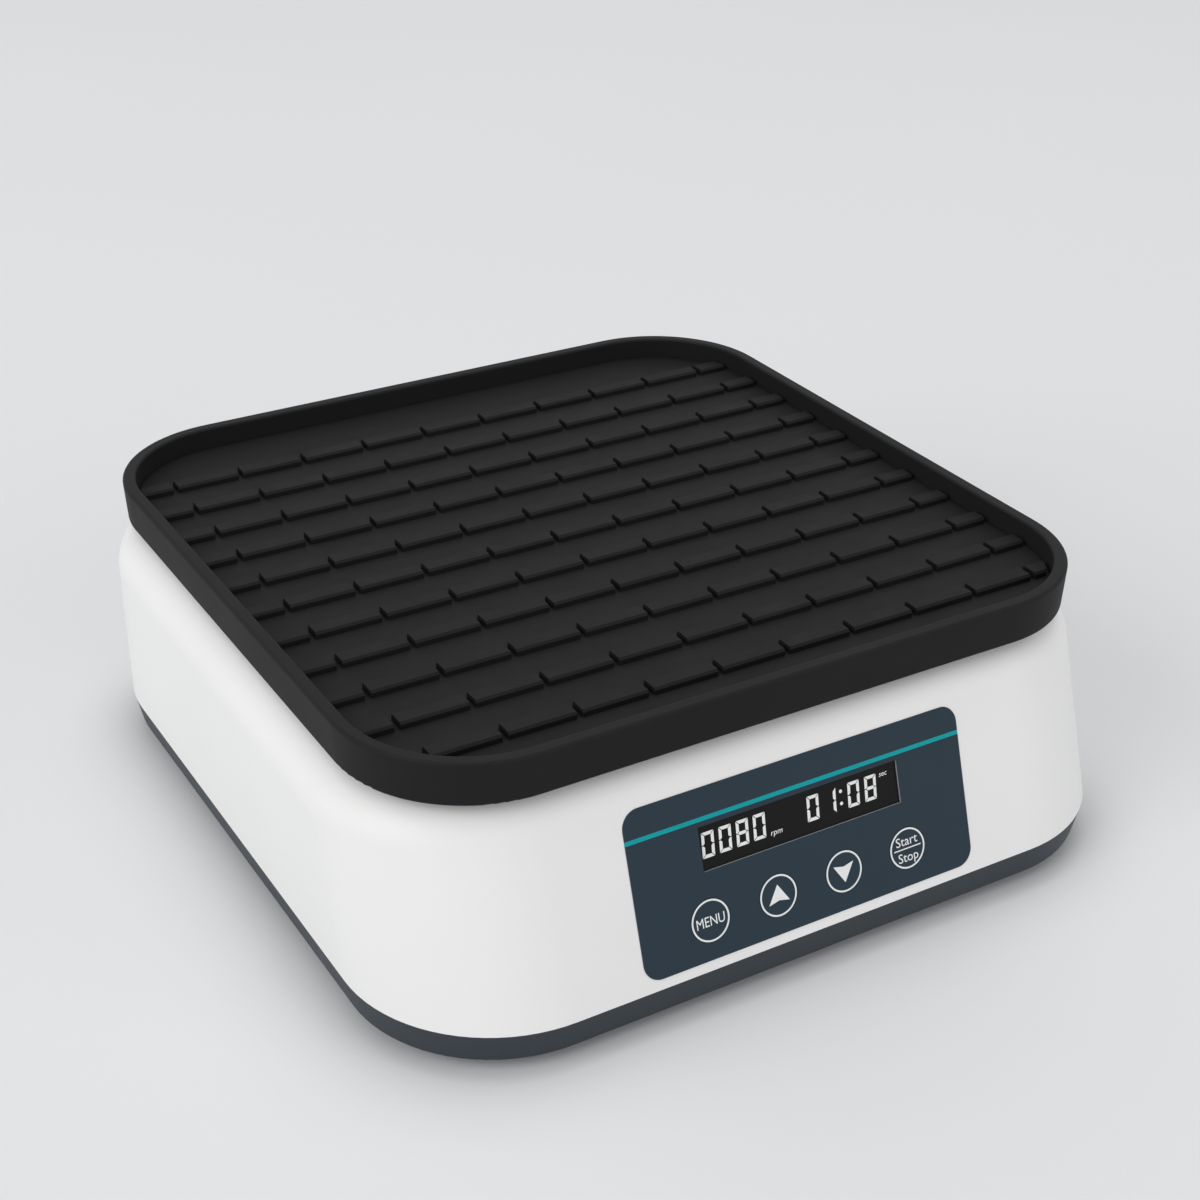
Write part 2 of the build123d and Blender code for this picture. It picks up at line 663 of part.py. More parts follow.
chassis_plate.part.label = "chassis_plate"
export_step(chassis_plate.part, "parts/chassis_plate.step")

# Main bearing housing: a flanged barrel with a ball bearing seated in each end
with BuildPart() as bearing_housing:
    with Locations((0, AXIS_Y, Z_CHASSIS)):
        Cylinder(HOUSING_FLANGE_RADIUS, HOUSING_FLANGE, align=(Align.CENTER, Align.CENTER, Align.MIN))
        Cylinder(HOUSING_BARREL_RADIUS, HOUSING_HEIGHT, align=(Align.CENTER, Align.CENTER, Align.MIN))
    flange_corner = bearing_housing.edges().filter_by(GeomType.CIRCLE).filter_by(
        lambda edge: abs(edge.center().Z - Z_CHASSIS - HOUSING_FLANGE) < 0.01
        and edge.radius < HOUSING_BARREL_RADIUS + 0.1
    )
    fillet(flange_corner, HOUSING_FILLET)
    with BuildSketch(Plane.XY.offset(Z_CHASSIS)):
        with Locations((0, AXIS_Y)):
            Circle(MAIN_BEARING_RADIUS - BORE_STEP)
        with Locations(*housing_points):
            Circle(SCREW_RADIUS + FIT)
    extrude(amount=HOUSING_HEIGHT, mode=Mode.SUBTRACT)
    with BuildSketch(Plane.XY.offset(Z_HOUSING_TOP)):
        with Locations((0, AXIS_Y)):
            Circle(MAIN_BEARING_RADIUS)
    extrude(amount=-MAIN_BEARING_WIDTH, mode=Mode.SUBTRACT)
    with BuildSketch(Plane.XY.offset(Z_CHASSIS)):
        with Locations((0, AXIS_Y)):
            Circle(MAIN_BEARING_RADIUS)
    extrude(amount=MAIN_BEARING_WIDTH, mode=Mode.SUBTRACT)
bearing_housing.part.label = "bearing_housing"
export_step(bearing_housing.part, "parts/bearing_housing.step")

main_bearings = bearings(
    (Z_CHASSIS, Z_HOUSING_TOP - MAIN_BEARING_WIDTH),
    [(0, AXIS_Y)],
    MAIN_BEARING_RADIUS,
    SHAFT_RADIUS,
    MAIN_BEARING_WIDTH,
)
main_bearings.label = "main_bearings"
export_step(main_bearings, "parts/main_bearings.step")

# Four pedestals that carry the idler cranks
with BuildPart() as idler_pedestals:
    for x, y in idler_points:
        with Locations((x, y, Z_CHASSIS)):
            Cylinder(PEDESTAL_FLANGE_RADIUS, PEDESTAL_FLANGE, align=(Align.CENTER, Align.CENTER, Align.MIN))
            Cone(
                PEDESTAL_BARREL_RADIUS + PEDESTAL_TAPER,
                PEDESTAL_BARREL_RADIUS,
                Z_PEDESTAL_TOP - Z_CHASSIS,
                align=(Align.CENTER, Align.CENTER, Align.MIN),
            )
    with BuildSketch(Plane.XY.offset(Z_CHASSIS)):
        with Locations(*idler_points):
            Circle(IDLER_BEARING_RADIUS - BORE_STEP)
    extrude(amount=Z_PEDESTAL_TOP - Z_CHASSIS, mode=Mode.SUBTRACT)
    with BuildSketch(Plane.XY.offset(Z_CHASSIS)):
        with Locations(*pedestal_points):
            Circle(SCREW_RADIUS + FIT)
    extrude(amount=2 * PEDESTAL_FLANGE, mode=Mode.SUBTRACT)
    with BuildSketch(Plane.XY.offset(Z_CHASSIS)):
        with Locations(*idler_points):
            Circle(IDLER_BEARING_RADIUS)
    extrude(amount=IDLER_BEARING_WIDTH, mode=Mode.SUBTRACT)
    with BuildSketch(Plane.XY.offset(Z_PEDESTAL_TOP)):
        with Locations(*idler_points):
            Circle(IDLER_BEARING_RADIUS)
    extrude(amount=-IDLER_BEARING_WIDTH, mode=Mode.SUBTRACT)
idler_pedestals.part.label = "idler_pedestals"
export_step(idler_pedestals.part, "parts/idler_pedestals.step")

idler_bearings = bearings(
    (Z_CHASSIS, Z_PEDESTAL_TOP - IDLER_BEARING_WIDTH),
    idler_points,
    IDLER_BEARING_RADIUS,
    IDLER_SHAFT_RADIUS,
    IDLER_BEARING_WIDTH,
)
idler_bearings.label = "idler_bearings"
export_step(idler_bearings, "parts/idler_bearings.step")

# Main drive shaft, turning in the main bearings
with BuildPart() as drive_shaft:
    with Locations((0, AXIS_Y, Z_CHASSIS + SHAFT_FOOT_GAP)):
        Cylinder(
            SHAFT_RADIUS, Z_ARM - Z_CHASSIS - SHAFT_FOOT_GAP, align=(Align.CENTER, Align.CENTER, Align.MIN)
        )
    chamfer(drive_shaft.faces().sort_by(Axis.Z)[0].edges(), SHAFT_CHAMFER)
drive_shaft.part.label = "drive_shaft"
export_step(drive_shaft.part, "parts/drive_shaft.step")


def pulley(y, groove_radius, bore_radius, hub_radius, hub_height):
    """A flanged flat-belt pulley with a raised hub, standing at the belt's level."""
    flange_radius = groove_radius + BELT_GAP + BELT_THICK + PULLEY_LIP
    lower = Plane.XY.offset(Z_PULLEY)
    upper = Plane.XY.offset(Z_PULLEY + PULLEY_WIDTH)
    with BuildPart() as wheel:
        with BuildSketch(lower):
            with Locations((0, y)):
                Circle(groove_radius)
        extrude(amount=PULLEY_WIDTH)
        with BuildSketch(lower):
            with Locations((0, y)):
                Circle(flange_radius)
        extrude(amount=PULLEY_FLANGE)
        with BuildSketch(upper):
            with Locations((0, y)):
                Circle(flange_radius)
        extrude(amount=-PULLEY_FLANGE)
        with BuildSketch(upper):
            with Locations((0, y)):
                Circle(hub_radius)
        extrude(amount=hub_height)
        with BuildSketch(lower):
            with Locations((0, y)):
                Circle(bore_radius + FIT)
        extrude(amount=PULLEY_WIDTH + hub_height, mode=Mode.SUBTRACT)
        web = groove_radius - PULLEY_RIM
        if web > hub_radius + PULLEY_RIM:
            hole = (web - hub_radius - PULLEY_RISE) / 2
            with BuildSketch(lower):
                with Locations((0, y)):
                    with PolarLocations((web + hub_radius) / 2, PULLEY_HOLES):
                        Circle(hole)
            extrude(amount=PULLEY_WIDTH, mode=Mode.SUBTRACT)
    return wheel.part


drive_hub = Z_ARM - Z_PULLEY - PULLEY_WIDTH - FIT
drive_pulley = pulley(AXIS_Y, DRIVE_GROOVE_RADIUS, SHAFT_RADIUS, DRIVE_HUB_RADIUS, drive_hub)
drive_pulley.label = "drive_pulley"
export_step(drive_pulley, "parts/drive_pulley.step")

# Drive crank: a round hub on the shaft and an eye for the eccentric pin
tail_points = [(side * TAIL_SCREW_X, AXIS_Y + TAIL_REACH) for side in (-1, 1)]
with BuildPart() as crank_arm:
    with BuildSketch(Plane.XY.offset(Z_ARM)):
        add(link_face((0, AXIS_Y), ARM_HUB_RADIUS, (0, pin_y), ARM_EYE_RADIUS))
    extrude(amount=ARM_THICK)
    with BuildSketch(Plane.XY.offset(Z_ARM_TOP)):
        add(link_face((0, AXIS_Y), ARM_HUB_RADIUS, (0, AXIS_Y + TAIL_REACH), TAIL_RADIUS))
    extrude(amount=-TAIL_THICK)
    with BuildSketch(Plane.XY.offset(Z_ARM_TOP)):
        with Locations(*tail_points):
            Circle(SMALL_SCREW_RADIUS + FIT)
    extrude(amount=-TAIL_THICK, mode=Mode.SUBTRACT)
    with BuildSketch(Plane.XY.offset(Z_ARM_TOP)):
        with Locations(*tail_points):
            Circle(SMALL_HEAD_RADIUS + 2 * FIT)
    extrude(amount=-SMALL_HEAD, mode=Mode.SUBTRACT)
crank_arm.part.label = "crank_arm"
export_step(crank_arm.part, "parts/crank_arm.step")

with BuildPart() as crank_pin:
    with Locations((0, pin_y, Z_ARM_TOP)):
        Cylinder(SHAFT_RADIUS, PIN_HEIGHT, align=(Align.CENTER, Align.CENTER, Align.MIN))
    chamfer(crank_pin.faces().sort_by(Axis.Z)[-1].edges(), SHAFT_CHAMFER)
crank_pin.part.label = "crank_pin"
export_step(crank_pin.part, "parts/crank_pin.step")

# Counterweight: a steel half ring screwed under the crank's tail, opposite the pin
with BuildPart() as counterweight:
    with BuildSketch(Plane.XY.offset(Z_ARM)):
        with Locations((0, AXIS_Y)):
            Circle(COUNTERWEIGHT_RADIUS)
            Circle(ARM_HUB_RADIUS + FIT, mode=Mode.SUBTRACT)
        with Locations((0, AXIS_Y + ORBIT_RADIUS)):
            Rectangle(
                2 * COUNTERWEIGHT_RADIUS,
                2 * COUNTERWEIGHT_RADIUS,
                align=(Align.CENTER, Align.MAX),
                mode=Mode.SUBTRACT,
            )
        with Locations(*tail_points):
            Circle(SMALL_SCREW_RADIUS + FIT, mode=Mode.SUBTRACT)
    extrude(amount=ARM_THICK - TAIL_THICK)
counterweight.part.label = "counterweight"
export_step(counterweight.part, "parts/counterweight.step")

counterweight_screws = screws(
    Plane.XY.offset(Z_ARM_TOP - SMALL_HEAD),
    tail_points,
    SMALL_HEAD_RADIUS,
    SMALL_HEAD,
    SMALL_SCREW_RADIUS,
    ARM_THICK - SMALL_HEAD,
)
counterweight_screws.label = "counterweight_screws"
export_step(counterweight_screws, "parts/counterweight_screws.step")

# Four idler cranks with the same throw as the drive crank
for number, ((x, y), (pin_x, pin_y_idler)) in enumerate(zip(idler_points, idler_pin_points), start=1):
    with BuildPart() as idler_crank:
        with BuildSketch(Plane.XY.offset(Z_CHASSIS + SHAFT_FOOT_GAP)):
            with Locations((x, y)):
                Circle(IDLER_SHAFT_RADIUS)
        extrude(amount=Z_IDLER_ARM - Z_CHASSIS - SHAFT_FOOT_GAP)
        with BuildSketch(Plane.XY.offset(Z_IDLER_ARM)):
            add(link_face((x, y), IDLER_HUB_RADIUS, (pin_x, pin_y_idler), IDLER_EYE_RADIUS))
        extrude(amount=IDLER_ARM_THICK)
        with BuildSketch(Plane.XY.offset(Z_ARM_TOP)):
            with Locations((pin_x, pin_y_idler)):
                Circle(IDLER_SHAFT_RADIUS)
        extrude(amount=PIN_HEIGHT)
    idler_crank.part.label = f"idler_crank_{number}"
    export_step(idler_crank.part, f"parts/idler_crank_{number}.step")

# Motor bridge: bent sheet, its profile carried along Y
half_inside = MOTOR_RADIUS + LEG_CLEARANCE
with BuildPart() as motor_bracket:
    with BuildSketch(Plane.XZ.offset(-(MOTOR_Y - BRACKET_LENGTH / 2))):
        with BuildLine():
            Polyline(
                (-bracket_half_width, Z_CHASSIS),
                (-half_inside, Z_CHASSIS),
                (-half_inside, Z_MOTOR_TOP),
                (half_inside, Z_MOTOR_TOP),
                (half_inside, Z_CHASSIS),
                (bracket_half_width, Z_CHASSIS),
                (bracket_half_width, Z_CHASSIS + BRACKET_SHEET),
                (leg_outside, Z_CHASSIS + BRACKET_SHEET),
                (leg_outside, Z_BRACKET_TOP),
                (-leg_outside, Z_BRACKET_TOP),
                (-leg_outside, Z_CHASSIS + BRACKET_SHEET),
                (-bracket_half_width, Z_CHASSIS + BRACKET_SHEET),
                close=True,
            )
        make_face()
    extrude(amount=-BRACKET_LENGTH)
    top_bends = motor_bracket.edges().filter_by(Axis.Y).group_by(Axis.Z)[-1]
    fillet(top_bends, BRACKET_SHEET)
    with BuildSketch(Plane.XY.offset(Z_BRACKET_TOP)):
        with Locations((0, MOTOR_Y)):
            Circle(MOTOR_BOSS_RADIUS + FIT)
        with Locations(*motor_screw_points):
            Circle(SMALL_SCREW_RADIUS + FIT)
    extrude(amount=-BRACKET_SHEET, mode=Mode.SUBTRACT)
    with BuildSketch(Plane.XY.offset(Z_CHASSIS)):
        with Locations(*bracket_points):
            Circle(SCREW_RADIUS + FIT)
    extrude(amount=BRACKET_SHEET, mode=Mode.SUBTRACT)
motor_bracket.part.label = "motor_bracket"
export_step(motor_bracket.part, "parts/motor_bracket.step")

# Screws that hold the housing, the pedestals and the bridge down on the chassis plate
with BuildPart() as chassis_screws:
    for points, flange in (
        (housing_points, HOUSING_FLANGE),
        (pedestal_points, PEDESTAL_FLANGE),
        (bracket_points, BRACKET_SHEET),
    ):
        seat = Plane.XY.offset(Z_CHASSIS + flange)
        add(screws(seat, points, CHASSIS_HEAD_RADIUS, SCREW_HEAD, SCREW_RADIUS, flange + CHASSIS_THICK))
chassis_screws.part.label = "chassis_screws"
export_step(chassis_screws.part, "parts/chassis_screws.step")

# Motor: a round can hung under the bridge, with its boss in the bridge's hole
with BuildPart() as motor:
    with BuildSketch(Plane.XY.offset(Z_MOTOR_TOP)):
        with Locations((0, MOTOR_Y)):
            Circle(MOTOR_RADIUS)
    extrude(amount=-MOTOR_HEIGHT)
    fillet(motor.edges().filter_by(GeomType.CIRCLE), MOTOR_ROUND)
    with BuildSketch(Plane.XY.offset(Z_MOTOR_TOP)):
        with Locations((0, MOTOR_Y)):
            Circle(MOTOR_BOSS_RADIUS)
    extrude(amount=BRACKET_SHEET)
    with BuildSketch(Plane.XY.offset(Z_BRACKET_TOP)):
        with Locations((0, MOTOR_Y)):
            Circle(MOTOR_SHAFT_RADIUS + RUN)
    extrude(amount=-(BRACKET_SHEET + SHAFT_ENTRY + SHAFT_FOOT_GAP), mode=Mode.SUBTRACT)
    with BuildSketch(Plane.XY.offset(Z_MOTOR_TOP)):
        with Locations(*motor_screw_points):
            Circle(SMALL_SCREW_RADIUS + FIT)
    extrude(amount=-SCREW_BITE / 2, mode=Mode.SUBTRACT)
motor.part.label = "motor"
export_step(motor.part, "parts/motor.step")

motor_screws = screws(
    Plane.XY.offset(Z_BRACKET_TOP),
    motor_screw_points,
    SMALL_HEAD_RADIUS,
    THIN_HEAD,
    SMALL_SCREW_RADIUS,
    BRACKET_SHEET + SCREW_BITE / 2,
)
motor_screws.label = "motor_screws"
export_step(motor_screws, "parts/motor_screws.step")

with BuildPart() as motor_shaft:
    with BuildSketch(Plane.XY.offset(Z_MOTOR_TOP - SHAFT_ENTRY)):
        with Locations((0, MOTOR_Y)):
            Circle(MOTOR_SHAFT_RADIUS)
    extrude(amount=Z_PULLEY + PULLEY_WIDTH + SHAFT_TIP - Z_MOTOR_TOP + SHAFT_ENTRY)
motor_shaft.part.label = "motor_shaft"
export_step(motor_shaft.part, "parts/motor_shaft.step")

motor_pulley = pulley(MOTOR_Y, MOTOR_GROOVE_RADIUS, MOTOR_SHAFT_RADIUS, MOTOR_HUB_RADIUS, MOTOR_HUB)
motor_pulley.label = "motor_pulley"
export_step(motor_pulley, "parts/motor_pulley.step")

# Flat belt round both pulleys
with BuildPart() as drive_belt:
    with BuildSketch(Plane.XY.offset(Z_BELT - BELT_WIDTH / 2)):
        add(
            link_face(
                (0, AXIS_Y),
                DRIVE_GROOVE_RADIUS + BELT_GAP + BELT_THICK,
                (0, MOTOR_Y),
                MOTOR_GROOVE_RADIUS + BELT_GAP + BELT_THICK,
            )
        )
        add(
            link_face((0, AXIS_Y), DRIVE_GROOVE_RADIUS + BELT_GAP, (0, MOTOR_Y), MOTOR_GROOVE_RADIUS + BELT_GAP),
            mode=Mode.SUBTRACT,
        )
    extrude(amount=BELT_WIDTH)
drive_belt.part.label = "drive_belt"
export_step(drive_belt.part, "parts/drive_belt.step")

# Carrier plate: rides on the crank pin and the four idler pins
carrier_width = 2 * (IDLER_X + CARRIER_SIDE_MARGIN)
carrier_depth = 2 * (IDLER_SPREAD + CARRIER_END_MARGIN)
with BuildPart() as carrier_plate:
    with BuildSketch(Plane.XY.offset(Z_CARRIER)):
        with Locations((0, TRAY_Y)):
            RectangleRounded(carrier_width, carrier_depth, CARRIER_CORNER)
            Circle(MAIN_BEARING_RADIUS, mode=Mode.SUBTRACT)
            with PolarLocations(LIGHTENING_CIRCLE, LIGHTENING_HOLES):
                Circle(LIGHTENING_RADIUS, mode=Mode.SUBTRACT)
        with Locations(*idler_pin_points):
            Circle(IDLER_BEARING_RADIUS - BORE_STEP, mode=Mode.SUBTRACT)
        with Locations(*post_points):
            Circle(SCREW_RADIUS + FIT, mode=Mode.SUBTRACT)
    extrude(amount=CARRIER_THICK)
    with BuildSketch(Plane.XY.offset(Z_CARRIER)):
        with Locations(*idler_pin_points):
            Circle(IDLER_BEARING_RADIUS)
    extrude(amount=IDLER_BEARING_WIDTH, mode=Mode.SUBTRACT)
carrier_plate.part.label = "carrier_plate"
export_step(carrier_plate.part, "parts/carrier_plate.step")

carrier_main_bearing = bearings(
    (Z_CARRIER,), [(0, TRAY_Y)], MAIN_BEARING_RADIUS, SHAFT_RADIUS, MAIN_BEARING_WIDTH
)
carrier_main_bearing.label = "carrier_main_bearing"
export_step(carrier_main_bearing, "parts/carrier_main_bearing.step")

carrier_idler_bearings = bearings(
    (Z_CARRIER,), idler_pin_points, IDLER_BEARING_RADIUS, IDLER_SHAFT_RADIUS, IDLER_BEARING_WIDTH
)
carrier_idler_bearings.label = "carrier_idler_bearings"
export_step(carrier_idler_bearings, "parts/carrier_idler_bearings.step")

# Posts that stand on the carrier and hold the tray above the casing
post_height = Z_TRAY - Z_CARRIER_TOP
with BuildPart() as tray_posts:
    with BuildSketch(Plane.XY.offset(Z_CARRIER_TOP)):
        with Locations(*post_points):
            Circle(POST_RADIUS)
            Circle(SCREW_RADIUS + FIT, mode=Mode.SUBTRACT)
    extrude(amount=post_height)
tray_posts.part.label = "tray_posts"
export_step(tray_posts.part, "parts/tray_posts.step")

# Tray: a shallow dish with a raised rim and slightly drawn sides
with BuildPart() as tray:
    loft(
        [
            plan_face(
                Z_TRAY,
                TRAY_WIDTH - 2 * TRAY_DRAW,
                TRAY_DEPTH - 2 * TRAY_DRAW,
                TRAY_Y,
                TRAY_CORNER - TRAY_DRAW,
            ),
            plan_face(Z_RIM, TRAY_WIDTH, TRAY_DEPTH, TRAY_Y, TRAY_CORNER),
        ],
        ruled=True,
    )
    fillet(tray.faces().sort_by(Axis.Z)[-1].edges(), RIM_OUTER_ROUND)
    fillet(tray.faces().sort_by(Axis.Z)[0].edges(), TRAY_DRAW)
    with BuildSketch(Plane.XY.offset(Z_RIM)):
        with Locations((0, TRAY_Y)):
            RectangleRounded(WELL_WIDTH, WELL_DEPTH, WELL_CORNER)
    extrude(amount=Z_MAT - Z_RIM, mode=Mode.SUBTRACT)
    fillet(tray.faces().filter_by(Axis.Z).sort_by(Axis.Z)[-1].inner_wires()[0].edges(), RIM_INNER_ROUND)
    with BuildSketch(Plane.XY.offset(Z_MAT)):
        with Locations(*post_points):
            Circle(SCREW_RADIUS + FIT)
    extrude(amount=-TRAY_FLOOR, mode=Mode.SUBTRACT)
    with BuildSketch(Plane.XY.offset(Z_MAT)):
        with Locations(*post_points):
            Circle(SCREW_HEAD_RADIUS + 2 * FIT)
    extrude(amount=-SMALL_HEAD, mode=Mode.SUBTRACT)
tray.part.label = "tray"
export_step(tray.part, "parts/tray.step")

# Screws into both ends of the posts: through the carrier from below, through the tray from above
with BuildPart() as post_screws:
    below = Plane.XY.offset(Z_CARRIER)
    above = Plane.XY.offset(Z_MAT - SMALL_HEAD)
    bite = post_height * POST_BITE
    add(
        screws(
            below, post_points, SCREW_HEAD_RADIUS, SMALL_HEAD, SCREW_RADIUS, CARRIER_THICK + bite, facing=-1
        )
    )
    add(screws(above, post_points, SCREW_HEAD_RADIUS, SMALL_HEAD, SCREW_RADIUS, TRAY_FLOOR - SMALL_HEAD + bite))
post_screws.part.label = "post_screws"
export_step(post_screws.part, "parts/post_screws.step")

# Rubber mat: a sheet with rows of raised bars, notched into blocks along each row
mat_width = WELL_WIDTH - 2 * MAT_GAP
mat_depth = WELL_DEPTH - 2 * MAT_GAP
mat_corner = WELL_CORNER - MAT_GAP
notch_columns = [(i - (BAR_NOTCHES - 1) / 2) * BAR_LENGTH_PITCH for i in range(BAR_NOTCHES)]
row_places = [(i - (BAR_ROWS - 1) / 2) * BAR_ROW_PITCH + BAR_ROW_SHIFT for i in range(BAR_ROWS)]
half_bar = BAR_WIDTH / 2
with BuildPart() as mat:
    with BuildSketch(Plane.YZ.offset(-mat_width / 2)):
        for place in row_places:
            with Locations((TRAY_Y + place, Z_MAT_TOP)):
                Polygon(
                    (-half_bar, 0),
                    (half_bar, 0),
                    (half_bar, BAR_RISE - BAR_BEVEL),
                    (half_bar - BAR_BEVEL, BAR_RISE),
                    (-half_bar + BAR_BEVEL, BAR_RISE),
                    (-half_bar, BAR_RISE - BAR_BEVEL),
                    align=None,
                )
    extrude(amount=mat_width)
    with BuildSketch(Plane.XY.offset(Z_MAT_TOP)):
        with Locations(*[(x, TRAY_Y) for x in notch_columns]):
            Rectangle(BAR_NOTCH, mat_depth)
    extrude(amount=BAR_RISE, mode=Mode.SUBTRACT)
    with BuildSketch(Plane.XY.offset(Z_MAT_TOP)):
        with Locations((0, TRAY_Y)):
            RectangleRounded(mat_width - 2 * BAR_MARGIN, mat_depth - 2 * BAR_MARGIN, mat_corner - BAR_MARGIN)
    extrude(amount=BAR_RISE, mode=Mode.INTERSECT)
    with BuildSketch(Plane.XY.offset(Z_MAT)):
        with Locations((0, TRAY_Y)):
            RectangleRounded(mat_width, mat_depth, mat_corner)
    extrude(amount=MAT_BASE)
mat.part.label = "mat"
export_step(mat.part, "parts/mat.step")

# Control board behind the leaning front, screwed to four bosses
behind_board = BOARD_DEPTH + BOARD_THICK
with BuildPart() as control_board:
    with BuildSketch(panel.offset(-BOARD_DEPTH)):
        Rectangle(BOARD_WIDTH, BOARD_HEIGHT)
        with Locations(*board_points):
            Circle(SMALL_SCREW_RADIUS + FIT, mode=Mode.SUBTRACT)
    extrude(amount=-BOARD_THICK)
control_board.part.label = "control_board"
export_step(control_board.part, "parts/control_board.step")

# Chip, plug and buzzer on the back of the control board
with BuildPart() as board_components:
    with BuildSketch(panel.offset(-behind_board)):
        with Locations((CHIP_X, 0)):
            Rectangle(CHIP_SIZE, CHIP_SIZE)
    extrude(amount=-CHIP_THICK)
    with BuildSketch(panel.offset(-behind_board)):
        with Locations((PLUG_X, 0)):
            Rectangle(PLUG_WIDTH, PLUG_HEIGHT)
    extrude(amount=-PLUG_DEPTH)
    with BuildSketch(panel.offset(-behind_board)):
        with Locations((BUZZER_X, 0)):
            Circle(BUZZER_RADIUS)
    extrude(amount=-BUZZER_DEPTH)
board_components.part.label = "board_components"
export_step(board_components.part, "parts/board_components.step")

board_screws = screws(
    panel.offset(-behind_board),
    board_points,
    SMALL_HEAD_RADIUS,
    SMALL_HEAD,
    SMALL_SCREW_RADIUS,
    BOARD_THICK + boss_length - SCREW_RUNOUT,
    facing=-1,
)
board_screws.label = "board_screws"
export_step(board_screws, "parts/board_screws.step")

# Display module: a frame on the board, with its glass raised into the window
with BuildPart() as lcd_module:
    with BuildSketch(panel.offset(-BOARD_DEPTH)):
        with Locations((0, WINDOW_Y)):
            Rectangle(LCD_WIDTH, LCD_HEIGHT)
    extrude(amount=BOARD_DEPTH - PANEL_WALL - LCD_GAP)
    with BuildSketch(panel.offset(-PANEL_WALL - LCD_GAP)):
        with Locations((0, WINDOW_Y)):
            Rectangle(WINDOW_WIDTH - 2 * LCD_SLIP, WINDOW_HEIGHT - 2 * LCD_SLIP)
    extrude(amount=PANEL_WALL - OVERLAY_RECESS - LENS_THICK)
lcd_module.part.label = "lcd_module"
export_step(lcd_module.part, "parts/lcd_module.step")

# Display window: a flat pane let into the casing, held by the overlay that laps over its edge
with BuildPart() as display_window:
    with BuildSketch(panel.offset(-OVERLAY_RECESS)):
        with Locations((0, WINDOW_Y)):
            Rectangle(WINDOW_WIDTH + 2 * LENS_LAP, WINDOW_HEIGHT + 2 * LENS_LAP)
    extrude(amount=-LENS_THICK)
display_window.part.label = "display_window"
export_step(display_window.part, "parts/display_window.step")

# Overlay: the dark sheet on the front, with a window and four round key openings
with BuildPart() as control_overlay:
    with BuildSketch(panel.offset(-OVERLAY_RECESS)):
        RectangleRounded(OVERLAY_WIDTH, OVERLAY_HEIGHT, OVERLAY_CORNER)
        with Locations((0, WINDOW_Y)):
            Rectangle(WINDOW_WIDTH, WINDOW_HEIGHT, mode=Mode.SUBTRACT)
        with Locations(*key_points):
            Circle(KEY_RADIUS + KEY_SLIT, mode=Mode.SUBTRACT)
    extrude(amount=OVERLAY_RECESS + OVERLAY_PROUD)
control_overlay.part.label = "control_overlay"
export_step(control_overlay.part, "parts/control_overlay.step")

# Key switches on the board, each with a blind hole that guides a key's stem
switch_top = BOARD_DEPTH - SWITCH_HEIGHT
with BuildPart() as key_switches:
    with BuildSketch(panel.offset(-BOARD_DEPTH)):
        with Locations(*key_points):
            Rectangle(SWITCH_SIZE, SWITCH_SIZE)
    extrude(amount=SWITCH_HEIGHT)
    with BuildSketch(panel.offset(-switch_top)):
        with Locations(*key_points):
            Circle(STEM_RADIUS + RUN)
    extrude(amount=-(STEM_ENTRY + KEY_TRAVEL + STEM_STOP), mode=Mode.SUBTRACT)
key_switches.part.label = "key_switches"
export_step(key_switches.part, "parts/key_switches.step")

# The four keys: a flat disc on a stem
for name, point in zip(("key_menu", "key_up", "key_down", "key_start_stop"), key_points):
    with BuildPart() as key:
        with BuildSketch(panel.offset(OVERLAY_PROUD)):
            with Locations(point):
                Circle(KEY_RADIUS)
        extrude(amount=-KEY_THICK)
        with BuildSketch(panel.offset(OVERLAY_PROUD - KEY_THICK)):
            with Locations(point):
                Circle(STEM_RADIUS)
        extrude(amount=-(switch_top + STEM_ENTRY + OVERLAY_PROUD - KEY_THICK))
    key.part.label = name
    export_step(key.part, f"parts/{name}.step")

# Power supply board on standoffs, with its larger pieces
supply_level = Z_CHASSIS + SUPPLY_STANDOFF
supply_top = supply_level + SUPPLY_BOARD
with BuildPart() as supply_board:
    with BuildSketch(Plane.XY.offset(supply_level)):
        with Locations((SUPPLY_X, AXIS_Y)):
            Rectangle(SUPPLY_WIDTH, SUPPLY_LENGTH)
        with Locations(*supply_points):
            Circle(SCREW_RADIUS + FIT, mode=Mode.SUBTRACT)
    extrude(amount=SUPPLY_BOARD)
supply_board.part.label = "supply_board"
export_step(supply_board.part, "parts/supply_board.step")

with BuildPart() as supply_standoffs:
    with BuildSketch(Plane.XY.offset(Z_CHASSIS)):
        with Locations(*supply_points):
            Circle(STANDOFF_RADIUS)
            Circle(SCREW_RADIUS + FIT, mode=Mode.SUBTRACT)
    extrude(amount=SUPPLY_STANDOFF)
supply_standoffs.part.label = "supply_standoffs"
export_step(supply_standoffs.part, "parts/supply_standoffs.step")

supply_screws = screws(
    Plane.XY.offset(supply_top),
    supply_points,
    CHASSIS_HEAD_RADIUS,
    SCREW_HEAD,
    SCREW_RADIUS,
    supply_top - Z_FLOOR,
)
supply_screws.label = "supply_screws"
export_step(supply_screws, "parts/supply_screws.step")

with BuildPart() as supply_transformer:
    with Locations((SUPPLY_X, AXIS_Y + TRANSFORMER_Y, supply_top)):
        Box(
            TRANSFORMER_WIDTH,
            TRANSFORMER_LENGTH,
            TRANSFORMER_HEIGHT,
            align=(Align.CENTER, Align.CENTER, Align.MIN),
        )
    chamfer(supply_transformer.edges().filter_by(Axis.Z), SHAFT_CHAMFER)
supply_transformer.part.label = "supply_transformer"
export_step(supply_transformer.part, "parts/supply_transformer.step")

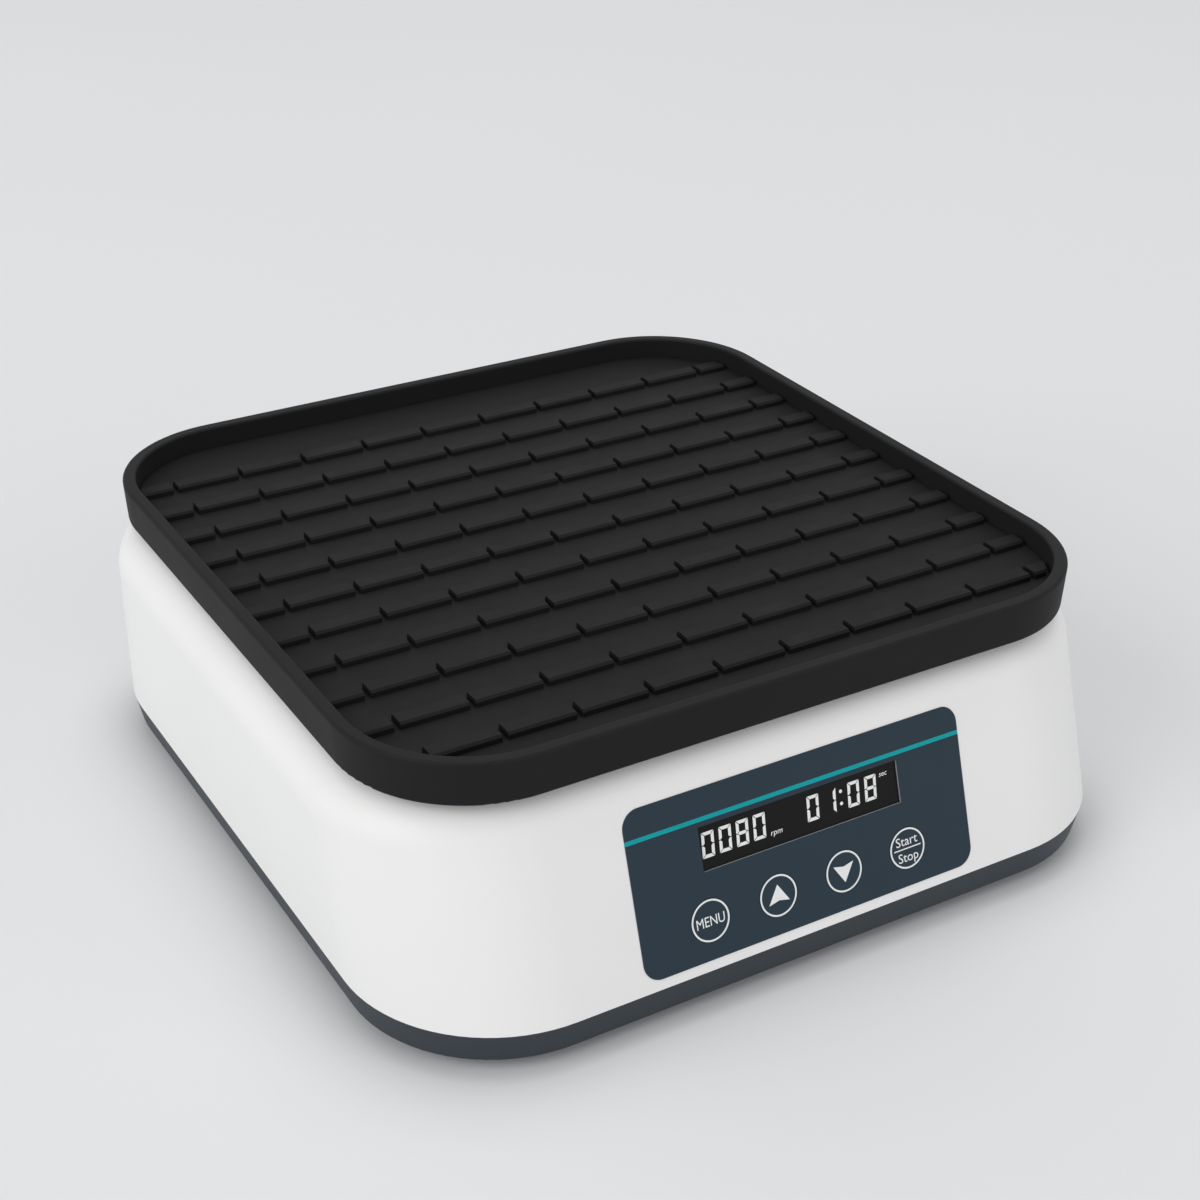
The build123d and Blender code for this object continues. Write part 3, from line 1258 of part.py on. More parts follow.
# Capacitors, heat sink and terminal blocks of the power supply
fin_pitch = (HEAT_SINK_LENGTH - HEAT_SINK_FIN) / (HEAT_SINK_FINS - 1)
with BuildPart() as supply_components:
    with BuildSketch(Plane.XY.offset(supply_top)):
        with Locations((SUPPLY_X + CAPACITOR_X, AXIS_Y + CAPACITOR_Y)):
            with GridLocations(CAPACITOR_PITCH, 1, 2, 1):
                Circle(CAPACITOR_RADIUS)
    extrude(amount=CAPACITOR_HEIGHT)
    with BuildSketch(Plane.XY.offset(supply_top)):
        with Locations((SUPPLY_X + HEAT_SINK_X, AXIS_Y + CAPACITOR_Y)):
            Rectangle(HEAT_SINK_BASE, HEAT_SINK_LENGTH)
            with GridLocations(1, fin_pitch, 1, HEAT_SINK_FINS):
                Rectangle(HEAT_SINK_DEPTH, HEAT_SINK_FIN)
    extrude(amount=HEAT_SINK_HEIGHT)
    with BuildSketch(Plane.XY.offset(supply_top)):
        with Locations((SUPPLY_X, AXIS_Y)):
            with GridLocations(1, 2 * TERMINAL_Y, 1, 2):
                Rectangle(TERMINAL_WIDTH, TERMINAL_DEPTH)
    extrude(amount=TERMINAL_HEIGHT)
supply_components.part.label = "supply_components"
export_step(supply_components.part, "parts/supply_components.step")

# Power inlet in the pocket of the back wall: a flange, a bevelled socket and a body behind
pocket_floor = rear.offset(-POCKET_DEPTH)
inlet_face = rear.offset(INLET_FLANGE - POCKET_DEPTH)
half_wide = INLET_CAVITY_WIDTH / 2
half_tall = INLET_CAVITY_HEIGHT / 2
pin_places = [(-PIN_SPACING / 2, -PIN_OFFSET), (PIN_SPACING / 2, -PIN_OFFSET), (0, PIN_OFFSET)]
pin_points = [(x - INLET_X, y) for x, y in pin_places]
body_back = INLET_BODY_DEPTH + POCKET_DEPTH
with BuildPart() as power_inlet:
    with BuildSketch(pocket_floor):
        with Locations((-INLET_X, 0)):
            RectangleRounded(INLET_FLANGE_WIDTH, INLET_FLANGE_HEIGHT, POCKET_CORNER)
    extrude(amount=INLET_FLANGE)
    with BuildSketch(pocket_floor):
        with Locations((-INLET_X, 0)):
            Rectangle(INLET_BODY_WIDTH, INLET_BODY_HEIGHT)
    extrude(amount=-INLET_BODY_DEPTH)
    with BuildSketch(inlet_face):
        with Locations((-INLET_X, 0)):
            Polygon(
                (-half_wide, -half_tall),
                (half_wide, -half_tall),
                (half_wide, half_tall - INLET_BEVEL),
                (half_wide - INLET_BEVEL, half_tall),
                (INLET_BEVEL - half_wide, half_tall),
                (-half_wide, half_tall - INLET_BEVEL),
                align=None,
            )
    extrude(amount=-INLET_CAVITY_DEPTH, mode=Mode.SUBTRACT)
    with BuildSketch(inlet_face):
        with Locations((-INLET_X - INLET_SCREWS / 2, 0), (-INLET_X + INLET_SCREWS / 2, 0)):
            Circle(SMALL_SCREW_RADIUS + FIT)
        with Locations(*pin_points):
            Rectangle(PIN_THICK + 2 * FIT, PIN_TALL + 2 * FIT)
    extrude(amount=-2 * INLET_BODY_DEPTH, mode=Mode.SUBTRACT)
power_inlet.part.label = "power_inlet"
export_step(power_inlet.part, "parts/power_inlet.step")

# Three flat pins, running back through the inlet's body to its tabs
with BuildPart() as inlet_pins:
    with BuildSketch(rear.offset(-body_back - TAB_LENGTH)):
        with Locations(*pin_points):
            Rectangle(PIN_THICK, PIN_TALL)
    extrude(amount=body_back + TAB_LENGTH - POCKET_DEPTH + INLET_FLANGE - INLET_CAVITY_DEPTH + PIN_LENGTH)
inlet_pins.part.label = "inlet_pins"
export_step(inlet_pins.part, "parts/inlet_pins.step")

inlet_screws = screws(
    inlet_face,
    [(-INLET_X - INLET_SCREWS / 2, 0), (-INLET_X + INLET_SCREWS / 2, 0)],
    SMALL_HEAD_RADIUS,
    SMALL_HEAD,
    SMALL_SCREW_RADIUS,
    INLET_FLANGE + WALL,
)
inlet_screws.label = "inlet_screws"
export_step(inlet_screws, "parts/inlet_screws.step")

# Rocker switch: a framed housing with a rocker that turns on two pins
rocker_pivot = Y_BACK - POCKET_DEPTH + BEZEL_THICK - ROCKER_DEPTH
rocker_side = Plane(origin=(ROCKER_X, rocker_pivot, POCKET_Z), x_dir=(0, 0, 1), z_dir=(-1, 0, 0))
with BuildPart() as switch_housing:
    with BuildSketch(pocket_floor):
        with Locations((-ROCKER_X, 0)):
            Rectangle(BEZEL_WIDTH, BEZEL_HEIGHT)
    extrude(amount=BEZEL_THICK)
    with BuildSketch(pocket_floor):
        with Locations((-ROCKER_X, 0)):
            Rectangle(SWITCH_BODY_WIDTH, SWITCH_BODY_HEIGHT)
    extrude(amount=-SWITCH_BODY_DEPTH)
    with BuildSketch(rear.offset(BEZEL_THICK - POCKET_DEPTH)):
        with Locations((-ROCKER_X, 0)):
            Rectangle(ROCKER_WIDTH + 2 * ROCKER_SLIP, 2 * (ROCKER_RADIUS + ROCKER_SLIP))
    extrude(amount=-ROCKER_WELL, mode=Mode.SUBTRACT)
    with BuildSketch(rocker_side):
        Circle(ROCKER_PIN_RADIUS + RUN)
    extrude(amount=ROCKER_WIDTH / 2 + ROCKER_PIN_REACH + RUN, both=True, mode=Mode.SUBTRACT)
    with BuildSketch(rear.offset(-POCKET_DEPTH - SWITCH_BODY_DEPTH)):
        with Locations((-ROCKER_X, 0)):
            with GridLocations(1, TAB_SPACING, 1, 2):
                Rectangle(TAB_WIDTH, TAB_THICK)
    extrude(amount=-TAB_LENGTH)
switch_housing.part.label = "switch_housing"
export_step(switch_housing.part, "parts/switch_housing.step")

rocker_crest = ROCKER_VALLEY + ROCKER_RADIUS * math.tan(math.radians(ROCKER_FACET))
with BuildPart() as rocker:
    with BuildSketch(rocker_side):
        Circle(ROCKER_RADIUS)
        Polygon(
            (0, ROCKER_VALLEY),
            (-ROCKER_RADIUS, rocker_crest),
            (-ROCKER_RADIUS, -ROCKER_UNDERSIDE),
            (ROCKER_RADIUS, -ROCKER_UNDERSIDE),
            (ROCKER_RADIUS, rocker_crest),
            rotation=ROCKER_TILT,
            align=None,
            mode=Mode.INTERSECT,
        )
    extrude(amount=ROCKER_WIDTH / 2, both=True)
    with BuildSketch(rocker_side):
        Circle(ROCKER_PIN_RADIUS)
    extrude(amount=ROCKER_WIDTH / 2 + ROCKER_PIN_REACH, both=True)
rocker.part.label = "rocker"
export_step(rocker.part, "parts/rocker.step")

# Control lead: from the plug on the control board to the front terminal of the power supply
terminal_side = SUPPLY_X + TERMINAL_WIDTH / 2
terminal_level = supply_top + LEAD_LEVEL
plug_back = panel.offset(-behind_board - PLUG_DEPTH)
plug_end = plug_back.from_local_coords((PLUG_X, 0, 0))
plug_bend = plug_back.from_local_coords((PLUG_X, 0, -LEAD_SLACK))
front_terminal_y = AXIS_Y - TERMINAL_Y
control_lead = lead(
    [
        tuple(plug_end),
        tuple(plug_bend),
        (PLUG_X - 16, plug_bend.Y + 14, 26),
        (PLUG_X - 38, front_terminal_y - 38, 20),
        (terminal_side + 42, front_terminal_y - 16, 21),
        (terminal_side + 18, front_terminal_y, terminal_level),
        (terminal_side, front_terminal_y, terminal_level),
    ],
    CONTROL_LEAD_RADIUS,
)
control_lead.label = "control_lead"
export_step(control_lead, "parts/control_lead.step")

# Motor lead: from the front of the motor, past the bridge, to the rear terminal
rear_terminal_y = AXIS_Y + TERMINAL_Y
motor_lead_level = supply_top + LEAD_LEVEL - MOTOR_LEAD_RADIUS
motor_exit = math.radians(MOTOR_LEAD_ANGLE)
exit_x, exit_y = math.cos(motor_exit), math.sin(motor_exit)
motor_lead = lead(
    [
        (MOTOR_RADIUS * exit_x, MOTOR_Y + MOTOR_RADIUS * exit_y, motor_lead_level),
        ((MOTOR_RADIUS + LEAD_SLACK) * exit_x, MOTOR_Y + (MOTOR_RADIUS + LEAD_SLACK) * exit_y, motor_lead_level),
        (-45, MOTOR_Y - 39, motor_lead_level),
        (terminal_side + 15, rear_terminal_y - 1.5, motor_lead_level),
        (terminal_side, rear_terminal_y - 1.5, motor_lead_level),
    ],
    MOTOR_LEAD_RADIUS,
)
motor_lead.label = "motor_lead"
export_step(motor_lead, "parts/motor_lead.step")

# Mains leads: inlet to switch, switch to supply, inlet to supply, and earth down to the chassis plate
inlet_tab_y = Y_BACK - body_back - TAB_LENGTH
switch_tab_y = Y_BACK - POCKET_DEPTH - SWITCH_BODY_DEPTH - TAB_LENGTH
live_x, neutral_x = INLET_X - PIN_SPACING / 2, INLET_X + PIN_SPACING / 2
outer_z, earth_z = POCKET_Z - PIN_OFFSET, POCKET_Z + PIN_OFFSET
low_tab, high_tab = POCKET_Z - TAB_SPACING / 2, POCKET_Z + TAB_SPACING / 2
mains_level = terminal_level + 2
with BuildPart() as mains_leads:
    for route in (
        [
            (live_x, inlet_tab_y, outer_z),
            (live_x, inlet_tab_y - 10.5, outer_z),
            (ROCKER_X + 16, inlet_tab_y - 14, low_tab + 0.5),
            (ROCKER_X, switch_tab_y - 11.5, low_tab),
            (ROCKER_X, switch_tab_y, low_tab),
        ],
        [
            (ROCKER_X, switch_tab_y, high_tab),
            (ROCKER_X, switch_tab_y - 10, high_tab),
            (ROCKER_X + 18, switch_tab_y - 17, high_tab + 1),
            (terminal_side + 15, rear_terminal_y + 36, mains_level + 12),
            (terminal_side + 15.5, rear_terminal_y + 15, mains_level + 3),
            (terminal_side + 13, rear_terminal_y + 2, mains_level),
            (terminal_side, rear_terminal_y + 2, mains_level),
        ],
        [
            (neutral_x, inlet_tab_y, outer_z),
            (neutral_x, inlet_tab_y - 5, outer_z),
            (neutral_x - 16, inlet_tab_y - 7.6, outer_z - 5),
            (neutral_x - 20, inlet_tab_y - 21.6, mains_level + 4),
            (terminal_side + 21, rear_terminal_y + 28, mains_level + 2),
            (terminal_side + 21.5, rear_terminal_y + 12, mains_level + 0.5),
            (terminal_side + 15, rear_terminal_y - 2, mains_level),
            (terminal_side, rear_terminal_y - 2, mains_level),
        ],
        [
            (INLET_X, inlet_tab_y, earth_z),
            (INLET_X, inlet_tab_y - 3.2, earth_z),
            (INLET_X - 1, inlet_tab_y - 2.6, earth_z - 17),
            (INLET_X - 1, inlet_tab_y - 2.6, Z_CHASSIS),
        ],
    ):
        add(lead(route, MAINS_LEAD_RADIUS))
mains_leads.part.label = "mains_leads"
export_step(mains_leads.part, "parts/mains_leads.step")
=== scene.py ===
# %% [markdown]
# # A benchtop orbital shaker
#
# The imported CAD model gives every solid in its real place, in metres, with +Z up
# and the control panel facing -Y. This lesson adds what CAD leaves out: the
# finishes, the printed marks on the keys, the display's digits, the light and the
# camera. Sizes are written in millimetres and turned into metres by one factor.

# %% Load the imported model
import math

import bpy
import numpy as np
from mathutils import Euler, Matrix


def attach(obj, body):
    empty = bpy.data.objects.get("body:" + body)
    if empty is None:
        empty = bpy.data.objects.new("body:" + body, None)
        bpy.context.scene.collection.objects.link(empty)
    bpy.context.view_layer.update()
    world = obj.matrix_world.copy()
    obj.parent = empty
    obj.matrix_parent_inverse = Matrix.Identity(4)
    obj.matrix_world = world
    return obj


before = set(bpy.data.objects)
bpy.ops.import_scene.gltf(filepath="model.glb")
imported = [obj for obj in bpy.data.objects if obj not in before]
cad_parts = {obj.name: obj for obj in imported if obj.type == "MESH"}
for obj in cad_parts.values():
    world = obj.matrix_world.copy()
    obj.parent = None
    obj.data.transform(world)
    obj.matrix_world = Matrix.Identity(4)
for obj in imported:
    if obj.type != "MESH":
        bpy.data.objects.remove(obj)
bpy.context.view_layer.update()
MM = 0.001

# %% [markdown]
# ## The camera
#
# The photograph looks down on the machine's left front corner. A camera could be
# aimed by a constraint, but a measured place and three angles say the same thing
# in plain numbers: how high it looks from, which way it is turned, and how far it
# leans. The lens is a long one, so the sides of the machine hardly converge.

# %% Camera
CAMERA_PLACE = (-338.09, -580.80, 435.96)
CAMERA_TILT = 61.41
CAMERA_ROLL = -0.258
CAMERA_HEADING = -30.409
CAMERA_LENS = 61.25
SENSOR_WIDTH = 36
NEAREST_SEEN = 0.01

lens = bpy.data.cameras.new("photo_camera")
lens.lens = CAMERA_LENS
lens.sensor_width = SENSOR_WIDTH
lens.clip_start = NEAREST_SEEN
camera = bpy.data.objects.new("photo_camera", lens)
camera.location = [c * MM for c in CAMERA_PLACE]
camera.rotation_euler = Euler(
    (math.radians(CAMERA_TILT), math.radians(CAMERA_ROLL), math.radians(CAMERA_HEADING)), "XYZ"
)
bpy.context.collection.objects.link(camera)
bpy.context.scene.camera = camera
bpy.context.scene.view_settings.view_transform = "Standard"
print("camera at", CAMERA_PLACE, "mm with a lens of", CAMERA_LENS, "mm")

# %% [markdown]
# ## Finishes
#
# Every finish starts from the same shader with its own colour and roughness. A
# moulded surface is never one flat colour, so each finish also gets a soft change
# of tone over a few centimetres and a fine grain as bump. Both read Object
# coordinates, so the pattern keeps its real size on every piece.
#
# Colours are easiest to read off a screen, where they run from 0 to 255 on a curve.
# The shader wants light itself, so a small function undoes the curve.


# %% Colours and the plain finish
def tone(red, green, blue):
    """A display colour from 0 to 255, turned into the linear value that the shader takes.

    With s = value / 255, it is s / 12.92 up to 0.04045, else ((s + 0.055) / 1.055) ** 2.4.
    """
    shares = np.array([red, green, blue]) / 255
    linear = np.where(shares <= 0.04045, shares / 12.92, ((shares + 0.055) / 1.055) ** 2.4)
    return (*[float(c) for c in linear], 1.0)


def new_finish(name, colour, roughness, metallic=0.0, specular=0.5):
    """A material with one shader, whose plain values stand on the shader's own sockets."""
    finish = bpy.data.materials.new(name)
    finish.use_nodes = True
    shader = finish.node_tree.nodes["Principled BSDF"]
    shader.inputs["Base Color"].default_value = colour
    shader.inputs["Roughness"].default_value = roughness
    shader.inputs["Metallic"].default_value = metallic
    shader.inputs["Specular IOR Level"].default_value = specular
    finish.diffuse_color = colour
    return finish


print("mid grey as a linear value:", tone(128, 128, 128))

# %% [markdown]
# A material is a small graph. Two helpers add a node with its values and draw a
# link by the sockets' names, so that the recipes below stay one line each.


# %% Nodes and their links
def add_node(finish, kind, **values):
    """A new node in a finish, with its input sockets set by name."""
    node = finish.node_tree.nodes.new(kind)
    for socket, value in values.items():
        node.inputs[socket.replace("_", " ")].default_value = value
    return node


def join(finish, source, out, target, into):
    """A link from one node's output socket to another's input socket."""
    finish.node_tree.links.new(source.outputs[out], target.inputs[into])


def shader_of(finish):
    """The shader that every finish starts from."""
    return finish.node_tree.nodes["Principled BSDF"]


# %% [markdown]
# ## Noise on a surface
#
# One kind of noise serves three ends: it darkens the colour a little, lets the
# roughness wander, and raises a fine grain. An image could do the same on one
# side, but noise in Object coordinates has no seams and needs no file. Its scale
# is one over the size of a feature, so a recipe can speak in millimetres.

# %% Noise, tone, grain and roughness
TONE_FROM = 0.3
TONE_TO = 0.7
GRAIN_DETAIL = 3.0


def object_noise(finish, size, detail=2.0, stretch=(1, 1, 1)):
    """Noise whose features are about size millimetres, stretched along the object's axes."""
    place = add_node(finish, "ShaderNodeTexCoord")
    mapping = add_node(finish, "ShaderNodeMapping")
    mapping.inputs["Scale"].default_value = stretch
    noise = add_node(finish, "ShaderNodeTexNoise", Scale=1 / (size * MM), Detail=detail)
    join(finish, place, "Object", mapping, "Vector")
    join(finish, mapping, "Vector", noise, "Vector")
    return noise


def add_tone_change(finish, size, darker, stretch=(1, 1, 1)):
    """Mixes the base colour with darker times that colour, by noise of size millimetres."""
    shader = shader_of(finish)
    colour = tuple(shader.inputs["Base Color"].default_value)
    noise = object_noise(finish, size, stretch=stretch)
    ramp = add_node(finish, "ShaderNodeValToRGB")
    ramp.color_ramp.elements[0].position = TONE_FROM
    ramp.color_ramp.elements[1].position = TONE_TO
    ramp.color_ramp.elements[0].color = (*[c * darker for c in colour[:3]], 1)
    ramp.color_ramp.elements[1].color = colour
    join(finish, noise, "Fac", ramp, "Fac")
    join(finish, ramp, "Color", shader, "Base Color")
    return ramp


def add_grain(finish, size, strength, depth, stretch=(1, 1, 1)):
    """Fine bump: noise of the given size, with its depth in millimetres."""
    noise = object_noise(finish, size, detail=GRAIN_DETAIL, stretch=stretch)
    bump = add_node(finish, "ShaderNodeBump", Strength=strength, Distance=depth * MM)
    join(finish, noise, "Fac", bump, "Height")
    join(finish, bump, "Normal", shader_of(finish), "Normal")


def add_roughness_change(finish, size, low, high, stretch=(1, 1, 1)):
    """Lets the roughness wander between two values, as handled surfaces do."""
    noise = object_noise(finish, size, stretch=stretch)
    spread = add_node(finish, "ShaderNodeMapRange", To_Min=low, To_Max=high)
    join(finish, noise, "Fac", spread, "Value")
    join(finish, spread, "Result", shader_of(finish), "Roughness")


# %% [markdown]
# The CAD nodes keep their shape and place. Only the material in their slots is
# changed, which is all that dressing them means here.


# %% Giving a finish to CAD nodes
def dress(finish, *names):
    """Puts the finish into every material slot of the named nodes."""
    for name in names:
        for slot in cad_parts[name].material_slots:
            slot.material = finish
    print(finish.name, "on", ", ".join(names))


# %% [markdown]
# ## Moulded plastic: the casing, the band and the tray
#
# The casing is white moulded plastic with a faint spark grain, the texture that a
# mould gets so that finger marks don't show. It could be a real displaced surface,
# but the grain is far finer than a pixel, so bump does as well for no extra faces.
# The slate band and the charcoal tray have the same grain, and the tray is duller,
# so its walls show hardly any reflection.

# %% Casing, band and tray
casing_white = new_finish("casing_white", tone(236, 236, 235), roughness=0.42, specular=0.4)
add_tone_change(casing_white, size=90, darker=0.975)
add_roughness_change(casing_white, size=40, low=0.36, high=0.5)
add_grain(casing_white, size=0.6, strength=0.12, depth=0.03)
dress(casing_white, "casing")

band_slate = new_finish("band_slate", tone(52, 59, 66), roughness=0.5, specular=0.25)
add_tone_change(band_slate, size=60, darker=0.93)
add_roughness_change(band_slate, size=30, low=0.44, high=0.56)
add_grain(band_slate, size=0.6, strength=0.15, depth=0.03)
dress(band_slate, "base_pan")

tray_charcoal = new_finish("tray_charcoal", tone(28, 28, 29), roughness=0.6, specular=0.12)
add_tone_change(tray_charcoal, size=70, darker=0.9)
add_roughness_change(tray_charcoal, size=30, low=0.54, high=0.66)
add_grain(tray_charcoal, size=0.5, strength=0.2, depth=0.03)
dress(tray_charcoal, "tray")

# %% [markdown]
# ## Rubber: the mat, the feet and the belt
#
# The mat's ribs are real geometry in the CAD model, so its finish adds only what
# rubber has: a rough, dark surface with a grain of about half a millimetre and
# patches that are a little smoother. The feet and the belt are rougher still.

# %% Rubber
mat_rubber = new_finish("mat_rubber", tone(27, 27, 28), roughness=0.7, specular=0.12)
add_tone_change(mat_rubber, size=25, darker=0.88)
add_roughness_change(mat_rubber, size=12, low=0.55, high=0.75)
add_grain(mat_rubber, size=0.4, strength=0.3, depth=0.04)
dress(mat_rubber, "mat")

foot_rubber = new_finish("foot_rubber", tone(30, 30, 32), roughness=0.8, specular=0.3)
add_tone_change(foot_rubber, size=8, darker=0.8)
add_roughness_change(foot_rubber, size=6, low=0.72, high=0.86)
add_grain(foot_rubber, size=0.5, strength=0.4, depth=0.05)
dress(foot_rubber, "rubber_feet", "drive_belt")

# %% [markdown]
# ## Metal, boards and fittings inside and behind
#
# Turned and sheet metal carries fine lines along one direction, made by noise that
# is squeezed across them. Cast and ground metal has no such direction, so its noise
# is even. Circuit boards are green solder mask with a soft mottling, and the black
# fittings are glossy moulded plastic.

# %% Turned steel, sheet steel and screws
turned_steel = new_finish("turned_steel", tone(172, 174, 178), roughness=0.35, metallic=1.0)
add_tone_change(turned_steel, size=5, darker=0.88)
add_roughness_change(turned_steel, size=6, low=0.25, high=0.45, stretch=(1, 1, 8))
add_grain(turned_steel, size=0.5, strength=0.15, depth=0.02, stretch=(0.2, 0.2, 6))
dress(
    turned_steel,
    "drive_shaft", "crank_arm", "crank_pin", "counterweight", "motor_shaft",
    "idler_crank_1", "idler_crank_2", "idler_crank_3", "idler_crank_4",
)

sheet_steel = new_finish("sheet_steel", tone(178, 181, 186), roughness=0.4, metallic=1.0)
add_tone_change(sheet_steel, size=18, darker=0.86)
add_roughness_change(sheet_steel, size=14, low=0.32, high=0.5)
add_grain(sheet_steel, size=0.7, strength=0.15, depth=0.02, stretch=(6, 0.3, 6))
dress(sheet_steel, "chassis_plate", "motor_bracket")

zinc_screw = new_finish("zinc_screw", tone(182, 184, 188), roughness=0.32, metallic=1.0)
add_tone_change(zinc_screw, size=2, darker=0.8)
add_roughness_change(zinc_screw, size=1.5, low=0.25, high=0.45)
add_grain(zinc_screw, size=0.2, strength=0.2, depth=0.01)
dress(
    zinc_screw,
    "casing_screws", "foot_screws", "chassis_screws", "motor_screws", "board_screws",
    "supply_screws", "inlet_screws", "counterweight_screws", "post_screws",
)

# %% Castings, bearings and brass
cast_aluminium = new_finish("cast_aluminium", tone(190, 192, 196), roughness=0.45, metallic=1.0)
add_tone_change(cast_aluminium, size=12, darker=0.88)
add_roughness_change(cast_aluminium, size=8, low=0.38, high=0.55)
add_grain(cast_aluminium, size=0.8, strength=0.2, depth=0.04)
dress(
    cast_aluminium,
    "bearing_housing", "idler_pedestals", "carrier_plate", "tray_posts",
    "drive_pulley", "motor_pulley",
)

ground_steel = new_finish("ground_steel", tone(205, 207, 210), roughness=0.15, metallic=1.0)
add_tone_change(ground_steel, size=4, darker=0.9)
add_roughness_change(ground_steel, size=3, low=0.1, high=0.25)
add_grain(ground_steel, size=0.15, strength=0.1, depth=0.005)
dress(
    ground_steel,
    "main_bearings", "idler_bearings", "carrier_main_bearing", "carrier_idler_bearings",
)

brass = new_finish("brass", tone(200, 170, 98), roughness=0.3, metallic=1.0)
add_tone_change(brass, size=3, darker=0.85)
add_roughness_change(brass, size=2, low=0.22, high=0.4)
add_grain(brass, size=0.2, strength=0.15, depth=0.01)
dress(brass, "supply_standoffs", "inlet_pins")

# %% Motor, boards, leads and fittings
motor_paint = new_finish("motor_paint", tone(64, 66, 70), roughness=0.45)
add_tone_change(motor_paint, size=20, darker=0.85)
add_roughness_change(motor_paint, size=10, low=0.4, high=0.55)
add_grain(motor_paint, size=0.6, strength=0.3, depth=0.04)
dress(motor_paint, "motor")

board_mask = new_finish("board_mask", tone(26, 84, 56), roughness=0.4)
add_tone_change(board_mask, size=4, darker=0.75)
add_roughness_change(board_mask, size=6, low=0.32, high=0.48)
add_grain(board_mask, size=0.6, strength=0.15, depth=0.02)
dress(board_mask, "control_board", "supply_board")

component_black = new_finish("component_black", tone(38, 38, 40), roughness=0.55)
add_tone_change(component_black, size=3, darker=0.8)
add_roughness_change(component_black, size=4, low=0.48, high=0.65)
add_grain(component_black, size=0.3, strength=0.2, depth=0.02)
dress(component_black, "board_components", "supply_components", "key_switches")

lead_sheath = new_finish("lead_sheath", tone(34, 34, 36), roughness=0.5, specular=0.4)
add_tone_change(lead_sheath, size=5, darker=0.85)
add_roughness_change(lead_sheath, size=6, low=0.42, high=0.58)
add_grain(lead_sheath, size=0.4, strength=0.2, depth=0.02)
dress(lead_sheath, "control_lead", "motor_lead", "mains_leads")

transformer_tape = new_finish("transformer_tape", tone(190, 160, 70), roughness=0.5)
add_tone_change(transformer_tape, size=6, darker=0.85, stretch=(0.3, 0.3, 5))
add_roughness_change(transformer_tape, size=5, low=0.42, high=0.58)
add_grain(transformer_tape, size=0.5, strength=0.2, depth=0.03)
dress(transformer_tape, "supply_transformer")

fitting_black = new_finish("fitting_black", tone(26, 26, 28), roughness=0.35)
add_tone_change(fitting_black, size=10, darker=0.85)
add_roughness_change(fitting_black, size=8, low=0.28, high=0.42)
add_grain(fitting_black, size=0.4, strength=0.2, depth=0.02)
dress(fitting_black, "power_inlet", "switch_housing", "rocker")

# %% [markdown]
# ## The control panel
#
# The panel leans back, so its own flat coordinates make everything on it easy to
# place: u runs across, v runs up the slope and w stands out of the surface. The
# overlay's finish uses the same coordinates: a Mapping node turns Object
# coordinates into u, v and w, and the teal stripe is where v lies between two
# heights. A stripe could also be a thin strip of its own, but the real one is
# printed in the sheet, without a step. The cut edge below the printed face is
# painted pale, a painted highlight for light caught by the edges of the film.

# %% Panel coordinates
LEAN = math.radians(17.85)
PANEL_MIDDLE = np.array([0.0, -141.18, 47.1])
ACROSS = np.array([1.0, 0.0, 0.0])
UPWARD = np.array([0.0, math.sin(LEAN), math.cos(LEAN)])
OUTWARD = np.array([0.0, -math.cos(LEAN), math.sin(LEAN)])


def on_panel(u, v, w):
    """Points in metres: the panel's middle plus u across, v up the slope and w outwards."""
    u, v, w = np.broadcast_arrays(u, v, w)
    place = PANEL_MIDDLE + u[..., None] * ACROSS + v[..., None] * UPWARD + w[..., None] * OUTWARD
    return place * MM


def panel_axes(finish):
    """Nodes that give u, v and w of a panel piece in metres, from its Object coordinates."""
    place = add_node(finish, "ShaderNodeTexCoord")
    mapping = add_node(finish, "ShaderNodeMapping")
    mapping.vector_type = "TEXTURE"
    mapping.inputs["Location"].default_value = PANEL_MIDDLE * MM
    mapping.inputs["Rotation"].default_value = (math.pi / 2 - LEAN, 0, 0)
    split = add_node(finish, "ShaderNodeSeparateXYZ")
    join(finish, place, "Object", mapping, "Vector")
    join(finish, mapping, "Vector", split, "Vector")
    return split


print("panel middle in metres:", on_panel(0, 0, 0))

# %% [markdown]
# A Math node set to Compare gives 1 where a coordinate lies close to a value and 0
# elsewhere, which makes a crisp mask. A Mix node lays a plain colour over whatever
# the base colour was, where that mask is 1.

# %% Painting where a coordinate lies between two values
MIX_LOWER_COLOUR = 6
MIX_UPPER_COLOUR = 7
MIX_RESULT_COLOUR = 2


def compare(finish, source, out, middle, half):
    """A node that gives 1 where a coordinate lies within half of middle, both in millimetres."""
    node = add_node(finish, "ShaderNodeMath")
    node.operation = "COMPARE"
    node.inputs[1].default_value = middle * MM
    node.inputs[2].default_value = half * MM
    join(finish, source, out, node, 0)
    return node


def paint_where(finish, mask, below, colour):
    """Mixes a plain colour over what feeds the base colour, where the mask is 1.

    A Mix node has a set of sockets for each kind of data, several with the same
    name, so its colour sockets are taken by number.
    """
    links = finish.node_tree.links
    mix = add_node(finish, "ShaderNodeMix")
    mix.data_type = "RGBA"
    links.new(mask.outputs[0], mix.inputs["Factor"])
    links.new(below, mix.inputs[MIX_LOWER_COLOUR])
    mix.inputs[MIX_UPPER_COLOUR].default_value = colour
    painted = mix.outputs[MIX_RESULT_COLOUR]
    links.new(painted, shader_of(finish).inputs["Base Color"])
    return painted


# %% [markdown]
# On the real machine the overlay and the four round keys are one printed film, so
# they share a colour. Here each key is a piece of its own, so that it can travel.
# The window is dark smoked plastic. It could be clear with the display behind it,
# but lit digits on a dark pane look the same and stay crisp from every side.

